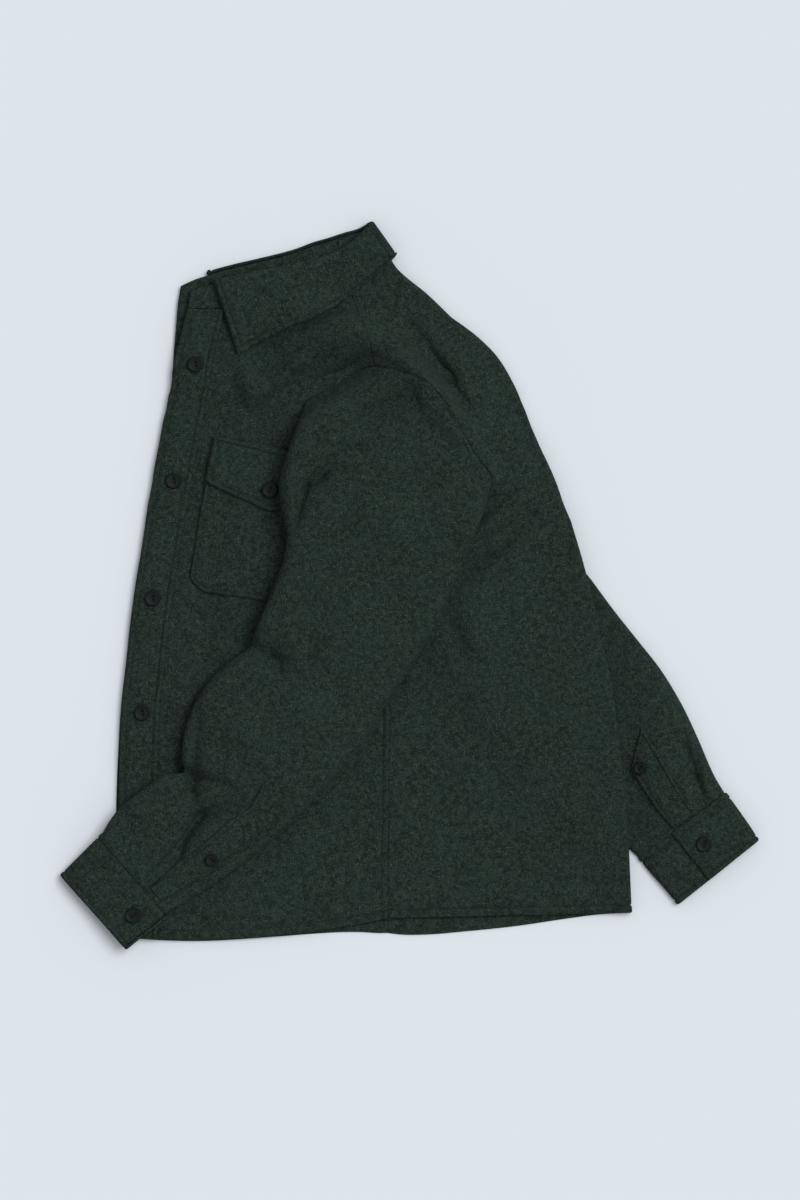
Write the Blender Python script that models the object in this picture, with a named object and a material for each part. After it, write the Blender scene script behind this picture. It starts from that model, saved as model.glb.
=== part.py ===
"""Wool shacket, buttoned up, folded at the centre back and laid flat on its right side.

Sizes are in millimetres, seen from above: X runs from the front edge to the centre-back fold,
Y runs from the hem to the collar and Z rises from the surface that it lies on.
"""
import math

import bpy
import numpy as np

MM = 0.001

# Middle of the ground that the garment covers, which becomes the origin
MIDDLE = (0.08, -4.81, 0.0)

# Cloth and trim
WALL = 2.4
SEAM_GAP = 0.4
LAYER_GAP = 1.3
SLACK = 1.5
PATCH_GAP = 0.5
STRIP_GAP = 1.4
PLACKET_WIDTH = 42.0
POCKET_INSET = 58.0
POCKET_WIDTH = 130.0
POCKET_LIMIT = 0.88
COLLAR_LAP = 4.4
COLLAR_SEAM = 1.0
CUFF_LAP = 3.0
CAP_SEAM = 2.0
CUFF_OVERLAP = 0.14
FRONT_BUTTON = 17.5
PLACKET_BUTTON = 13.5
BUTTON_DEPTH = 3.2

# Way across the back fold at the neck
FOLD_WAY = (0.855, 0.518)

# Folded edge at the centre back, and the lift over what lies underneath
BACK_ROLL = 1.5
BACK_ROLL_WIDTH = 24.0
SLEEVE_LIFT = 7.6
CAP_LIFT = 3.2
LEAF_LIFT = 4.7
LIFT_MARGIN = 14.0
LIFT_RAMP = 54.0

# Body sections, from the neck seam (level 0) by the shoulder point (1) and the underarm (2) to the hem (3)
BODY_COLUMNS = ("level", "edge_x", "edge_y", "front_x", "front_y", "back_x", "back_y", "fold_x", "fold_y")
BODY_SECTIONS = (
    (0.000, -243, 301, -70, 336, -69, 336, -29, 369),
    (0.330, -249, 279, -58, 302, -57, 302, -10, 342),
    (0.670, -255, 255, -45, 271, -44, 271, 20, 317),
    (1.000, -260, 230, -38, 238, -36, 238, 47, 291),
    (1.083, -260, 224, -50, 235, -18, 235, 61, 281),
    (1.167, -261, 217, -62, 229, 1, 229, 74, 271),
    (1.250, -262, 211, -75, 219, 18, 221, 86, 260),
    (1.333, -264, 205, -94, 209, 32, 207, 97, 248),
    (1.417, -265, 199, -111, 199, 45, 189, 107, 233),
    (1.500, -267, 189, -108, 182, 59, 161, 119, 210),
    (1.583, -270, 178, -88, 156, 76, 135, 131, 184),
    (1.667, -272, 167, -71, 127, 90, 117, 142, 160),
    (1.750, -276, 146, -59, 107, 82, 96, 153, 134),
    (1.833, -280, 125, -48, 89, 59, 79, 163, 107),
    (1.917, -283, 105, -33, 72, 25, 65, 170, 86),
    (2.000, -287, 85, -15, 58, -14, 58, 178, 67),
    (2.100, -293, 43, -18, 13, -16, 13, 191, 23),
    (2.200, -300, 1, -20, -42, -18, -42, 203, -24),
    (2.300, -306, -43, -20, -80, -19, -80, 213, -69),
    (2.400, -311, -91, -21, -120, -19, -120, 223, -113),
    (2.500, -316, -139, -21, -162, -20, -162, 229, -157),
    (2.600, -318, -188, -22, -204, -20, -204, 234, -199),
    (2.700, -319, -237, -22, -246, -21, -246, 238, -240),
    (2.800, -319, -288, -23, -288, -21, -288, 241, -282),
    (2.900, -318, -339, -23, -328, -21, -328, 243, -323),
    (3.000, -318, -390, -23, -369, -21, -368, 245, -363),
)

# How far a section of the front and of the back bows down at its middle, and how the right half lies off the left
SAG_COLUMNS = ("level", "front", "back", "under_edge_x", "under_edge_y", "under_mid_x", "under_mid_y")
SAG_SECTIONS = (
    (0.0, 12, 2, -11, 6, -1, 11),
    (0.5, 6, 0, -5, 3, 0, 5),
    (1.0, 0, 0, 0, 0, 0, 0),
    (2.0, 0, 0, 0, 0, 0, 0),
    (2.5, 0, 0, -1, 0, 0, -2),
    (2.8, 3, 0, -3, 0, 0, -8),
    (3.0, 11, 0, -1, 0, 0, -19),
)

# Share of the shift of the right half across the way to the fold, above and below the underarm
SHIFT_WAY = (0.0, 0.15, 0.3, 0.39, 0.43, 0.47, 0.51, 0.55, 0.6, 0.68, 0.78, 0.86, 0.94, 1.0)
SHIFT_ABOVE = (0.0, 0.5, 0.85, 0.96, 1.02, 1.07, 1.13, 1.2, 1.33, 1.6, 1.57, 1.25, 0.55, 0.0)
SHIFT_BELOW = (0.0, 0.07, 0.05, 0.16, 0.28, 0.48, 0.78, 0.97, 1.0, 0.86, 0.61, 0.31, 0.06, 0.0)

# Folds of the upper half: start, end, height at the start, middle and end, and width on each side of the way
FOLD_COLUMNS = ("x0", "y0", "x1", "y1", "start", "middle", "end", "left", "right")
BODY_FOLDS = (
    (-52, 254, -113, 214, -12, -15, -13, 17, 15),
    (-113, 214, -190, 166, -10, -7, 0, 20, 16),
    (-150, 285, -90, 262, 5, 9, 5, 30, 34),
    (-205, 235, -198, 165, -3, -4, 0, 10, 12),
    (-232, 150, -246, 20, -1, -2, -1, 9, 9),
    (-215, 20, -175, -70, 1, 5, 1, 16, 18),
    (-170, -40, -205, -110, 0, -3, 0, 14, 14),
    (25, 280, 105, 170, 2, 5, 2, 22, 26),
    (48, 20, 122, 70, -6, -6, -2, 9, 9),
    (66, 60, 120, 110, 2, 4, 1, 14, 12),
    (60, -10, 85, -90, 2, 5, 0, 20, 20),
    (25, -20, 40, -110, 0, -4, 0, 15, 15),
    (150, -60, 175, -200, 0, 2, 0, 30, 30),
    (-240, 305, -80, 345, 2, 3, 1, 24, 24),
)

# Ridge of the left shoulder, where the back turns over to the front
RIDGE_COLUMNS = ("x", "y", "height")
SHOULDER_RIDGE = (
    (-128, 306, 6),
    (-100, 292, 13),
    (-82, 282, 20),
    (-43, 270, 28),
    (-11, 246, 34),
    (20, 218, 37),
    (47, 188, 35),
    (76, 140, 22),
    (90, 112, 9),
    (92, 96, 2),
)
RIDGE_BACK_WIDTH = 17.0
RIDGE_FRONT_WIDTH = 44.0

# Collar stations of the left half: neck seam, roll line and leaf edge
COLLAR_COLUMNS = ("seam_x", "roll_x", "roll_y", "edge_x", "edge_y")
COLLAR_STATIONS = (
    (-243, -241, 324, -220, 244),
    (-229, -228, 329, -205, 246),
    (-215, -215, 332, -189, 250),
    (-190, -195, 336, -166, 262),
    (-162, -167, 342, -138, 277),
    (-131, -138, 348, -109, 289),
    (-100, -106, 355, -81, 304),
    (-78, -87, 361, -62, 317),
    (-61, -70, 370, -43, 332),
    (-45, -56, 381, -28, 344),
    (-29, -40, 398, -13, 360),
)
LEAF_START = 0.135

# Sleeve sections: front side, back side, bulge towards the shoulder and the hem, crown height and edge radius
SLEEVE_COLUMNS = ("front_x", "front_y", "back_x", "back_y", "up", "down", "crown", "edge")
LEFT_SLEEVE = (
    (-123, 168, 84, 90, 62, 82, 45, 9),
    (-134, 137, 80, 75, 45, 66, 46, 10),
    (-141, 109, 73, 58, 28, 52, 45, 10),
    (-139, 82, 64, 36, 14, 38, 44, 10),
    (-133, 54, 54, 12, 5, 23, 42, 10),
    (-136, 27, 42, -15, 0, 11, 41, 10),
    (-144, 3, 30, -42, 0, 3, 40, 10),
    (-155, -23, 14, -71, 0, 0, 40, 10),
    (-167, -52, -4, -101, 0, 0, 40, 10),
    (-175, -73, -21, -125, 0, 0, 39, 9),
    (-196, -87, -35, -148, 0, 0, 39, 9),
    (-217, -107, -47, -169, 0, 0, 39, 9),
    (-232, -129, -62, -190, 0, 0, 38, 9),
    (-242, -152, -78, -210, 0, 0, 38, 9),
    (-247, -177, -96, -228, 0, 0, 37, 9),
    (-248, -197, -114, -248, 0, 0, 36, 8),
    (-246, -209, -133, -267, 0, 0, 34, 7),
    (-267, -212, -153, -284, 0, 0, 33, 6),
    (-285, -223, -174, -301, 0, 0, 32, 5),
    (-302, -236, -197, -318, 0, 0, 30, 5),
    (-317, -249, -220, -334, 0, 0, 28, 4),
    (-328, -263, -243, -348, 0, 0, 26, 4),
    (-336, -277, -264, -359, 0, 0, 25, 4),
)
RIGHT_SLEEVE = (
    (32, -19, 199, 3, 0, 0, 8, 3),
    (70, -74, 224, -31, 0, 0, 10, 4),
    (107, -124, 251, -65, 0, 0, 12, 4),
    (142, -171, 276, -97, 0, 0, 13, 4),
    (174, -212, 299, -135, 0, 0, 14, 4),
    (204, -248, 317, -173, 0, 0, 14, 4),
    (229, -278, 333, -210, 0, 0, 14, 4),
    (254, -302, 347, -234, 0, 0, 13, 4),
)
LEFT_CUFF = (
    (-336, -277, -264, -359, 0, 0, 25, 4),
    (-351, -292, -281, -373, 0, 0, 23, 4),
    (-367, -308, -298, -386, 0, 0, 21, 4),
    (-382, -323, -314, -399, 0, 0, 19, 4),
)
RIGHT_CUFF = (
    (254, -302, 347, -234, 0, 0, 13, 4),
    (268, -319, 359, -251, 0, 0, 13, 4),
    (283, -336, 371, -268, 0, 0, 12, 4),
    (297, -353, 382, -285, 0, 0, 12, 4),
)
HIDDEN_EDGE = 2.0
RING = 24
BULGE_POWER = 0.7
RING_FRONT = 5
RING_BACK = 16

# Folds of the left sleeve's upper face
SLEEVE_FOLDS = (
    (-102, 117, -50, 153, -8, -7, -3, 10, 13),
    (-72, 159, -15, 186, -3, -6, -2, 12, 13),
    (-92, 115, -111, 104, -9, -9, -7, 7, 9),
    (-111, 104, -125, 55, -8, -6, -2, 6, 9),
    (-174, -72, -120, -98, -12, -9, -1, 9, 13),
    (-246, -209, -180, -232, -12, -8, -1, 8, 11),
    (-285, -326, -257, -296, -5, -9, -9, 6, 17),
    (-257, -296, -231, -258, -9, -10, -8, 6, 17),
    (-231, -258, -184, -236, -8, -6, 0, 8, 15),
    (-60, 90, 10, 20, 0, 4, 0, 26, 22),
    (-20, 130, 40, 80, 0, -4, 0, 20, 20),
    (-100, 10, -30, -90, 0, 4, 0, 24, 18),
    (-70, 40, -130, -40, 0, -3, 0, 20, 20),
    (-140, -105, -100, -170, 0, 4, 0, 20, 20),
    (-205, -135, -150, -195, 0, 4, 0, 18, 16),
)

# Ends of the sleeves: the ring point where the cuff starts and its way round, the cuff button's row, ring
# point and height, the placket's ring points at the cuff with its wider end's last one, its first rows and last
# row, and its button's row and ring point
SLEEVE_ENDS = {
    "left": (13, 1, (1.5, 19.6, 1.2), (18.7, 20.7, 21.5), (15.55, 15.55, 22.75), (20.0, 19.6)),
    "right": (13, -1, (1.35, 10.9, 4.2), (9.95, 11.7, 11.7), (7.7, 6.95, 9.85), (7.8, 10.45)),
}

# Buttons of the front, by level and distance from the front edge
FRONT_BUTTONS = ((0.883, 24), (1.875, 23), (2.235, 21), (2.505, 23), (2.765, 23))

# The pocket's button by level and column, and the column of the flap's point
POCKET_BUTTON = (1.85, 5.2)
FLAP_POINT = 5.35

# Rows and columns of each piece
BODY_ROWS = (6, 12, 10)
FRONT_STEPS = (2, 1, 4, 3)
BACK_STEPS = (9, 5)
STAND_STEPS = 3
LEAF_STEPS = (4, 4)
HIDDEN_STEPS = 3
BUTTON_SIDES = 18

# Where the ring points of the hidden sleeve's head lie round its armhole
HIDDEN_RING = (5, 15, 16, 28, 29)
HIDDEN_HOLE = (10, 17, 19, 29.6, 34)


def table(columns, rows):
    """Give a table's columns by name."""
    return dict(zip(columns, np.array(rows, float).T))


def follow(knots, values, at, corners=(1.0, 2.0)):
    """Pass a smooth line through a table's values, with a corner at the named knots."""
    knots = np.asarray(knots, float)
    values = np.asarray(values, float)
    span = np.diff(knots)
    chord = np.diff(values) / span
    middle = (chord[:-1] * span[1:] + chord[1:] * span[:-1]) / (span[1:] + span[:-1])
    smooth = ~np.isin(knots[1:-1], corners)
    leave = chord.copy()
    reach = chord.copy()
    leave[1:] = np.where(smooth, middle, chord[1:])
    reach[:-1] = np.where(smooth, middle, chord[:-1])
    k = np.clip(np.searchsorted(knots, at, side="right") - 1, 0, len(span) - 1)
    t = (at - knots[k]) / span[k]
    rise = values[k + 1] - values[k]
    bend = (1 - t) * (leave[k] * span[k] - rise) + t * (rise - reach[k] * span[k])
    return values[k] + t * rise + t * (1 - t) * bend


def ease(t):
    """Go smoothly from 0 to 1."""
    t = np.clip(t, 0.0, 1.0)
    return t * t * (3 - 2 * t)


def near_path(x, y, path):
    """Find the nearest place on a line of points: its share of the way, and the distance with its side."""
    x, y = np.broadcast_arrays(np.asarray(x, float), np.asarray(y, float))
    best = np.full(x.shape, np.inf)
    place = np.zeros(x.shape)
    side = np.zeros(x.shape)
    for k in range(len(path) - 1):
        (ax, ay), (bx, by) = path[k][:2], path[k + 1][:2]
        dx, dy = bx - ax, by - ay
        if dx == 0 and dy == 0:
            continue
        t = np.clip(((x - ax) * dx + (y - ay) * dy) / (dx * dx + dy * dy), 0, 1)
        away = np.hypot(x - ax - t * dx, y - ay - t * dy)
        closer = away < best
        best = np.where(closer, away, best)
        place = np.where(closer, k + t, place)
        side = np.where(closer, dx * (y - ay) - dy * (x - ax), side)
    return place, np.where(side >= 0, best, -best)


def bell(distance, left, right):
    """Give the height of a soft fold across its width."""
    return np.exp(-np.square(distance / np.where(distance >= 0, left, right)))


def folds_at(x, y, folds):
    """Add up the soft ridges and troughs of a fold table."""
    total = np.zeros(np.shape(x))
    for x0, y0, x1, y1, start, middle, end, left, right in folds:
        t, away = near_path(x, y, ((x0, y0), (x1, y1)))
        height = start * (1 - t) * (1 - 2 * t) + 4 * middle * t * (1 - t) + end * t * (2 * t - 1)
        total = total + height * bell(away, left, right)
    return total


def inside(x, y, outline):
    """Give the distance to a closed outline, positive inside it."""
    closed = list(outline) + [outline[0]]
    away = np.abs(near_path(x, y, closed)[1])
    odd = np.zeros(np.shape(x), bool)
    for (ax, ay), (bx, by) in zip(closed[:-1], closed[1:]):
        if ay != by:
            odd ^= ((ay > y) != (by > y)) & (x < ax + (bx - ax) * (y - ay) / (by - ay))
    return np.where(odd, away, -away)


BODY = table(BODY_COLUMNS, BODY_SECTIONS)
SAG = table(SAG_COLUMNS, SAG_SECTIONS)
RIDGE = table(RIDGE_COLUMNS, SHOULDER_RIDGE)
COLLAR = table(COLLAR_COLUMNS, COLLAR_STATIONS)
BACK_FOLD = tuple(zip(BODY["fold_x"], BODY["fold_y"]))
FRONT_EDGE = tuple(zip(BODY["edge_x"], BODY["edge_y"]))
BODY_OUTLINE = FRONT_EDGE + BACK_FOLD[::-1]
HOLE = BODY["level"][(BODY["level"] >= 1) & (BODY["level"] <= 2)]


def body_line(name, level):
    """Give one of the body's lengthwise lines at a level."""
    return np.stack([follow(BODY["level"], BODY[name + "_" + axis], level) for axis in "xy"], -1)


def sag_at(name, level):
    """Give a value of the sag table at a level."""
    return follow(SAG["level"], SAG[name], level)


def under_shift(level, share):
    """Say how far the right half lies off the left one, by the share of the way to the fold."""
    edge = np.stack([sag_at("under_edge_x", level), sag_at("under_edge_y", level)], -1)
    middle = np.stack([sag_at("under_mid_x", level), sag_at("under_mid_y", level)], -1)
    above = follow(SHIFT_WAY, SHIFT_ABOVE, share, ())
    below = follow(SHIFT_WAY, SHIFT_BELOW, share, ())
    part = np.where(np.asarray(level) < 1.5, above, below)[..., None]
    return edge * np.square(1 - np.asarray(share)[..., None]) + middle * part


def sleeve_outline(rows):
    """Give the ground that a sleeve covers."""
    return [(r[0], r[1]) for r in rows] + [(r[2], r[3]) for r in rows[::-1]]


def armhole_outline():
    """Give the ground of the armhole."""
    front = body_line("front", HOLE)
    back = body_line("back", HOLE)
    return [tuple(p) for p in front] + [tuple(p) for p in back[::-1]]


def leaf_outline():
    """Give the ground that the collar leaf of the right half covers."""
    roll = [(x - 4, y + 8) for x, y in zip(COLLAR["roll_x"], COLLAR["roll_y"])]
    edge = [(x - 4, y + 4) for x, y in zip(COLLAR["edge_x"], COLLAR["edge_y"])]
    return roll + edge[::-1]


UNDER_GROUND = (
    ([(-111, 199)] + sleeve_outline(RIGHT_SLEEVE + RIGHT_CUFF) + [(45, 192)], SLEEVE_LIFT),
    (armhole_outline(), CAP_LIFT),
    (leaf_outline(), LEAF_LIFT),
)


def lower_height(x, y):
    """Height of the right half's cloth over the surface, lifted where a piece lies under it."""
    lift = np.zeros(np.shape(x))
    for outline, height in UNDER_GROUND:
        reach = ease((inside(x, y, outline) + LIFT_MARGIN + LIFT_RAMP) / LIFT_RAMP)
        lift = np.maximum(lift, height * reach)
    return WALL / 2 + lift


def swell(x, y):
    """Give the room between the two halves: the shoulder ridge, the folds and the roll at the back fold."""
    t, away = near_path(x, y, SHOULDER_RIDGE)
    crest = np.interp(t, np.arange(len(SHOULDER_RIDGE)), RIDGE["height"])
    ridge = crest * bell(away, RIDGE_BACK_WIDTH, RIDGE_FRONT_WIDTH)
    roll = BACK_ROLL * bell(near_path(x, y, BACK_FOLD)[1], BACK_ROLL_WIDTH, BACK_ROLL_WIDTH)
    room = SLACK + roll + ridge + folds_at(x, y, BODY_FOLDS)
    return 0.5 * (room + np.sqrt(room * room + 1.0))


def upper_height(x, y):
    """Height of the left half's cloth over the surface."""
    return lower_height(x, y) + WALL + LAYER_GAP + swell(x, y)


def steepness(height, x, y):
    """Say how much a sloping cloth needs more room upwards than a level one."""
    step = 1.0
    along = (height(x + step, y) - height(x - step, y)) / (2 * step)
    across = (height(x, y + step) - height(x, y - step)) / (2 * step)
    return np.sqrt(1 + along * along + across * across)


def levels():
    """List the levels of the body's rows."""
    first, second, third = BODY_ROWS
    return np.concatenate([
        np.arange(first) / first,
        1 + np.arange(second) / second,
        2 + np.arange(third + 1) / third,
    ])


def front_plan(level, column):
    """Place a point of a front on the ground, by its column from the front edge to the armhole or side."""
    edge = body_line("edge", level)
    far = body_line("front", level)
    length = np.linalg.norm(far - edge, axis=-1)
    pocket_end = np.minimum(POCKET_INSET + POCKET_WIDTH, POCKET_LIMIT * length)
    marks = np.cumsum((0,) + FRONT_STEPS)
    stops = (0 * length, 0 * length + PLACKET_WIDTH, 0 * length + POCKET_INSET, pocket_end, length)
    distance = sum(
        np.where((column >= a) & ((column < b) | (b == marks[-1])), p + (q - p) * (column - a) / (b - a), 0)
        for a, b, p, q in zip(marks[:-1], marks[1:], stops[:-1], stops[1:])
    )
    share = distance / length
    plan = edge + share[..., None] * (far - edge)
    plan[..., 1] -= sag_at("front", level) * 4 * share * (1 - share)
    return plan


def back_plan(level, share):
    """Place a point of the back on the ground, by its share of the way to the middle of the back fold's roll."""
    near = body_line("back", level)
    fold = body_line("fold", level)
    way = (fold - near) / np.linalg.norm(fold - near, axis=-1)[..., None]
    rise = upper_height(fold[..., 0], fold[..., 1]) - lower_height(fold[..., 0], fold[..., 1])
    centre = fold - (rise / 2 + WALL / 2)[..., None] * way
    plan = near + np.asarray(share)[..., None] * (centre - near)
    plan[..., 1] -= sag_at("back", level) * 4 * share * (1 - share)
    return plan, centre, way


def with_height(plan, height):
    """Add the height to points on the ground."""
    return np.concatenate([plan, height(plan[..., 0], plan[..., 1])[..., None]], -1)


def way_across(plan, level):
    """Give the share of the way from the front edge to the back fold."""
    edge = body_line("edge", level)[..., 0]
    fold = body_line("fold", level)[..., 0]
    return np.clip((plan[..., 0] - edge) / (fold - edge), 0, 1)


def left_front_cloth():
    """Middle surface of the left front, row by row."""
    level, column = np.meshgrid(levels(), np.arange(sum(FRONT_STEPS) + 1.0), indexing="ij")
    return with_height(front_plan(level, column), upper_height)


def right_front_cloth():
    """Middle surface of the right front, from its side to its front edge."""
    column = np.arange(sum(FRONT_STEPS), -1.0, -1.0)
    level, column = np.meshgrid(levels(), column, indexing="ij")
    plan = front_plan(level, column)
    plan = plan + under_shift(level, way_across(plan, level))
    return with_height(plan, lower_height)


def back_shares():
    """List the shares of the way to the fold's roll of the back's columns, closer by the shoulder ridge."""
    return (np.arange(BACK_STEPS[0]) / BACK_STEPS[0]) ** 1.5


def back_cloth():
    """Middle surface of the back: its left half, the roll at the fold and its right half."""
    steps, turn = BACK_STEPS
    level, share = np.meshgrid(levels(), back_shares(), indexing="ij")
    plan = back_plan(level, share)[0]
    upper = with_height(plan, upper_height)
    plan = plan[:, ::-1]
    plan = plan + under_shift(level, way_across(plan, level))
    lower = with_height(plan, lower_height)
    rows = levels()
    _, centre, way = back_plan(rows, np.ones(len(rows)))
    top = upper_height(centre[:, 0], centre[:, 1])
    floor = lower_height(centre[:, 0], centre[:, 1])
    roll = [
        around_fold(centre, way, top, floor, math.pi / 2 - math.pi * k / turn)
        for k in range(turn + 1)
    ]
    return np.concatenate([upper, np.stack(roll, 1), lower], 1)


def around_fold(centre, way, top, floor, angle):
    """Give a point of the roll at the back fold, by its angle."""
    radius = (top - floor) / 2
    reach = radius * math.cos(angle)
    height = (top + floor) / 2 + radius * math.sin(angle)
    return np.concatenate([centre + reach[:, None] * way, height[:, None]], -1)


def normals(cloth, ring=False):
    """Give the outward normals of a surface of points."""
    if ring:
        across = np.roll(cloth, -1, 1) - np.roll(cloth, 1, 1)
    else:
        across = np.gradient(cloth, axis=1)
    down = np.gradient(cloth, axis=0)
    normal = np.cross(down, across)
    return normal / np.linalg.norm(normal, axis=-1)[..., None]


def slab(cloth, normal, ring=False, out=0.0):
    """Thicken a surface of points into a closed wall and give its vertices and triangles."""
    rows, columns = cloth.shape[:2]
    outer = cloth + normal * (out + WALL / 2)
    inner = cloth + normal * (out - WALL / 2)
    vertices = np.concatenate([outer.reshape(-1, 3), inner.reshape(-1, 3)])
    turned = np.sum(normals(cloth, ring) * normal) < 0
    index = np.arange(rows * columns).reshape(rows, columns)
    under = index + rows * columns
    triangles = []

    def quad(a, b, c, d):
        triangles.append((a, b, c))
        triangles.append((a, c, d))

    last = columns if ring else columns - 1
    for r in range(rows - 1):
        for c in range(last):
            n = (c + 1) % columns
            quad(index[r, c], index[r + 1, c], index[r + 1, n], index[r, n])
            triangles.append((under[r, c], under[r + 1, n], under[r + 1, c]))
            triangles.append((under[r, c], under[r, n], under[r + 1, n]))
    for c in range(last):
        n = (c + 1) % columns
        quad(index[0, n], under[0, n], under[0, c], index[0, c])
        quad(index[-1, c], under[-1, c], under[-1, n], index[-1, n])
    if not ring:
        for r in range(rows - 1):
            quad(index[r, 0], under[r, 0], under[r + 1, 0], index[r + 1, 0])
            quad(index[r + 1, -1], under[r + 1, -1], under[r, -1], index[r, -1])
    if turned:
        triangles = [t[::-1] for t in triangles]
    return vertices, triangles


def lines_between(start, end, step=1.0):
    """List the row or column lines from a start to an end, with each whole one between."""
    whole = np.arange(math.floor(start / step) + 1, math.ceil(end / step)) * step
    return np.concatenate([[start], whole, [end]])


def on_cloth(points, row, column):
    """Read a place between the points of a surface."""
    row = np.asarray(row, float)
    column = np.asarray(column, float)
    r = np.clip(np.floor(row).astype(int), 0, points.shape[0] - 2)
    c = np.clip(np.floor(column).astype(int), 0, points.shape[1] - 2)
    t = (row - r)[..., None]
    u = (column - c)[..., None]
    near = points[r, c] * (1 - u) + points[r, c + 1] * u
    far = points[r + 1, c] * (1 - u) + points[r + 1, c + 1] * u
    return near * (1 - t) + far * t


def row_of(level):
    """Give the body row of a level."""
    return np.interp(level, levels(), np.arange(len(levels())))


def collar_at(name, share):
    """Give a collar line at a share of the way from the front edge to the back fold."""
    seam = COLLAR["seam_x"]
    along = (seam - seam[0]) / (seam[-1] - seam[0])
    return np.stack([follow(along, COLLAR[name + "_" + axis], share, ()) for axis in "xy"], -1)


def neck_share(plan):
    """Give the share of the way round the neck of a point on the neck seam."""
    start = COLLAR["seam_x"][0]
    return np.clip((plan[:, 0] - start) / (COLLAR["seam_x"][-1] - start), 0, 1)


def collar_stand_cloth(body_row, kinds):
    """Middle surface of the collar stand, which carries on from the body's neck row up to the roll line."""
    side, share, angle = kinds
    bend = COLLAR_LAP / 2
    roll, way = collar_lines(side, share)
    top = roll + way * (bend + WALL / 2 + COLLAR_SEAM)
    turned = side == "roll"
    top_points = on_half(top, 0 * share, side)
    top_points[turned] = on_roll(top[turned], angle[turned], 0 * share[turned])
    rise = top_points - body_row
    start = body_row + rise * (SEAM_GAP / np.linalg.norm(rise, axis=1))[:, None]
    rows = []
    for q in np.linspace(1, 0, STAND_STEPS + 1):
        points = start + (top_points - start) * q
        flat = on_half(points[:, :2], 0 * share, side)
        keep = turned | (q == 0)
        rows.append(np.where(keep[:, None], points, flat))
    return np.array(rows)


def collar_lines(side, share):
    """Give the roll line of the collar and the way from it to the leaf's edge, on the ground."""
    roll = collar_at("roll", share)
    way = collar_at("edge", share) - roll
    way = way / np.linalg.norm(way, axis=-1)[:, None]
    shift = under_shift(0 * share, share) * (side == "right")[:, None]
    return roll + shift, way


def on_half(plan, out, side):
    """Place collar points at a distance from the cloth of the half that they belong to."""
    x, y = plan[:, 0], plan[:, 1]
    upper = upper_height(x, y) + out * steepness(upper_height, x, y)
    lower = lower_height(x, y) - out * steepness(lower_height, x, y)
    return np.column_stack([plan, np.where(side == "right", lower, upper)])


def on_roll(plan, angle, out):
    """Place collar points round the roll at the back fold, the outermost one over the plan point."""
    high = upper_height(plan[:, 0], plan[:, 1])
    low = lower_height(plan[:, 0], plan[:, 1])
    radius = (high - low) / 2
    way = np.array(FOLD_WAY)
    reach = (radius + out) * np.cos(angle) - radius - WALL / 2 - COLLAR_LAP
    height = (high + low) / 2 + (radius + out) * np.sin(angle)
    return np.column_stack([plan + reach[:, None] * way, height])


def neck_kinds():
    """Say for each point of the neck row which half it is on, where, and its angle on the roll."""
    steps, turn = BACK_STEPS
    level = np.zeros(sum(FRONT_STEPS) + 1)
    front = neck_share(front_plan(level, np.arange(sum(FRONT_STEPS) + 1.0)))
    back = neck_share(back_plan(np.zeros(steps), back_shares())[0])
    half = np.concatenate([front, back])
    round_fold = math.pi / 2 - math.pi * np.arange(turn + 1) / turn
    side = np.array(["left"] * len(half) + ["roll"] * (turn + 1) + ["right"] * len(half))
    share = np.concatenate([half, np.ones(turn + 1), half[::-1]])
    angle = np.concatenate([0 * half, round_fold, 0 * half])
    return side, share, angle


def collar_leaf_cloth(kinds):
    """Middle surface of the collar leaf, from the stand's top over the roll line to the leaf's edge."""
    side, share, angle = kinds
    keep = share > LEAF_START + 0.02
    side = np.concatenate([["left"], side[keep], ["right"]])
    share = np.concatenate([[LEAF_START], share[keep], [LEAF_START]])
    angle = np.concatenate([[0], angle[keep], [0]])
    roll, way = collar_lines(side, share)
    bend = COLLAR_LAP / 2
    centre = roll + way * (bend + WALL / 2)
    fall = collar_at("edge", share) + roll - collar_at("roll", share) - centre
    bends, falls = LEAF_STEPS
    turned = side == "roll"
    rows = []
    for k in range(bends + falls + 1):
        if k <= bends:
            turn = -math.pi / 2 + math.pi * k / bends
            plan = centre - way * bend * math.cos(turn)
            out = bend + bend * math.sin(turn) + 0 * share
        else:
            plan = centre + fall * (k - bends) / falls
            out = COLLAR_LAP + 0 * share
        raised = out + over_placket(plan) * out / COLLAR_LAP * (side == "left")
        points = on_half(plan, raised, side)
        points[turned] = on_roll(plan[turned], angle[turned], out[turned])
        rows.append(points)
    return np.array(rows)


def over_placket(plan):
    """Say how much higher the collar leaf lies where it crosses the front placket."""
    away = np.abs(near_path(plan[:, 0], plan[:, 1], FRONT_EDGE)[1])
    return (WALL + PATCH_GAP) * (1 - ease((away - PLACKET_WIDTH - 8) / 24))


def support(x, y):
    """Height of what the left sleeve lies on: the body with its trim, falling away past the front edge."""
    top = upper_height(x, y) + WALL / 2 * steepness(upper_height, x, y)
    from_edge = np.abs(near_path(x, y, FRONT_EDGE)[1])
    trim = 7.0 * (1 - ease((from_edge - 55) / 25)) * ease((-150 - y) / 40)
    flap = front_plan(np.array([1.66, 1.66, 2.2, 2.2]), np.array([3.0, 7.0, 7.0, 3.0]))
    pocket = 7.0 * ease((inside(x, y, [tuple(p) for p in flap]) + 48) / 26)
    over = ease((inside(x, y, BODY_OUTLINE) + 62) / 52)
    return (top + np.maximum(trim, pocket)) * over


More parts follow.
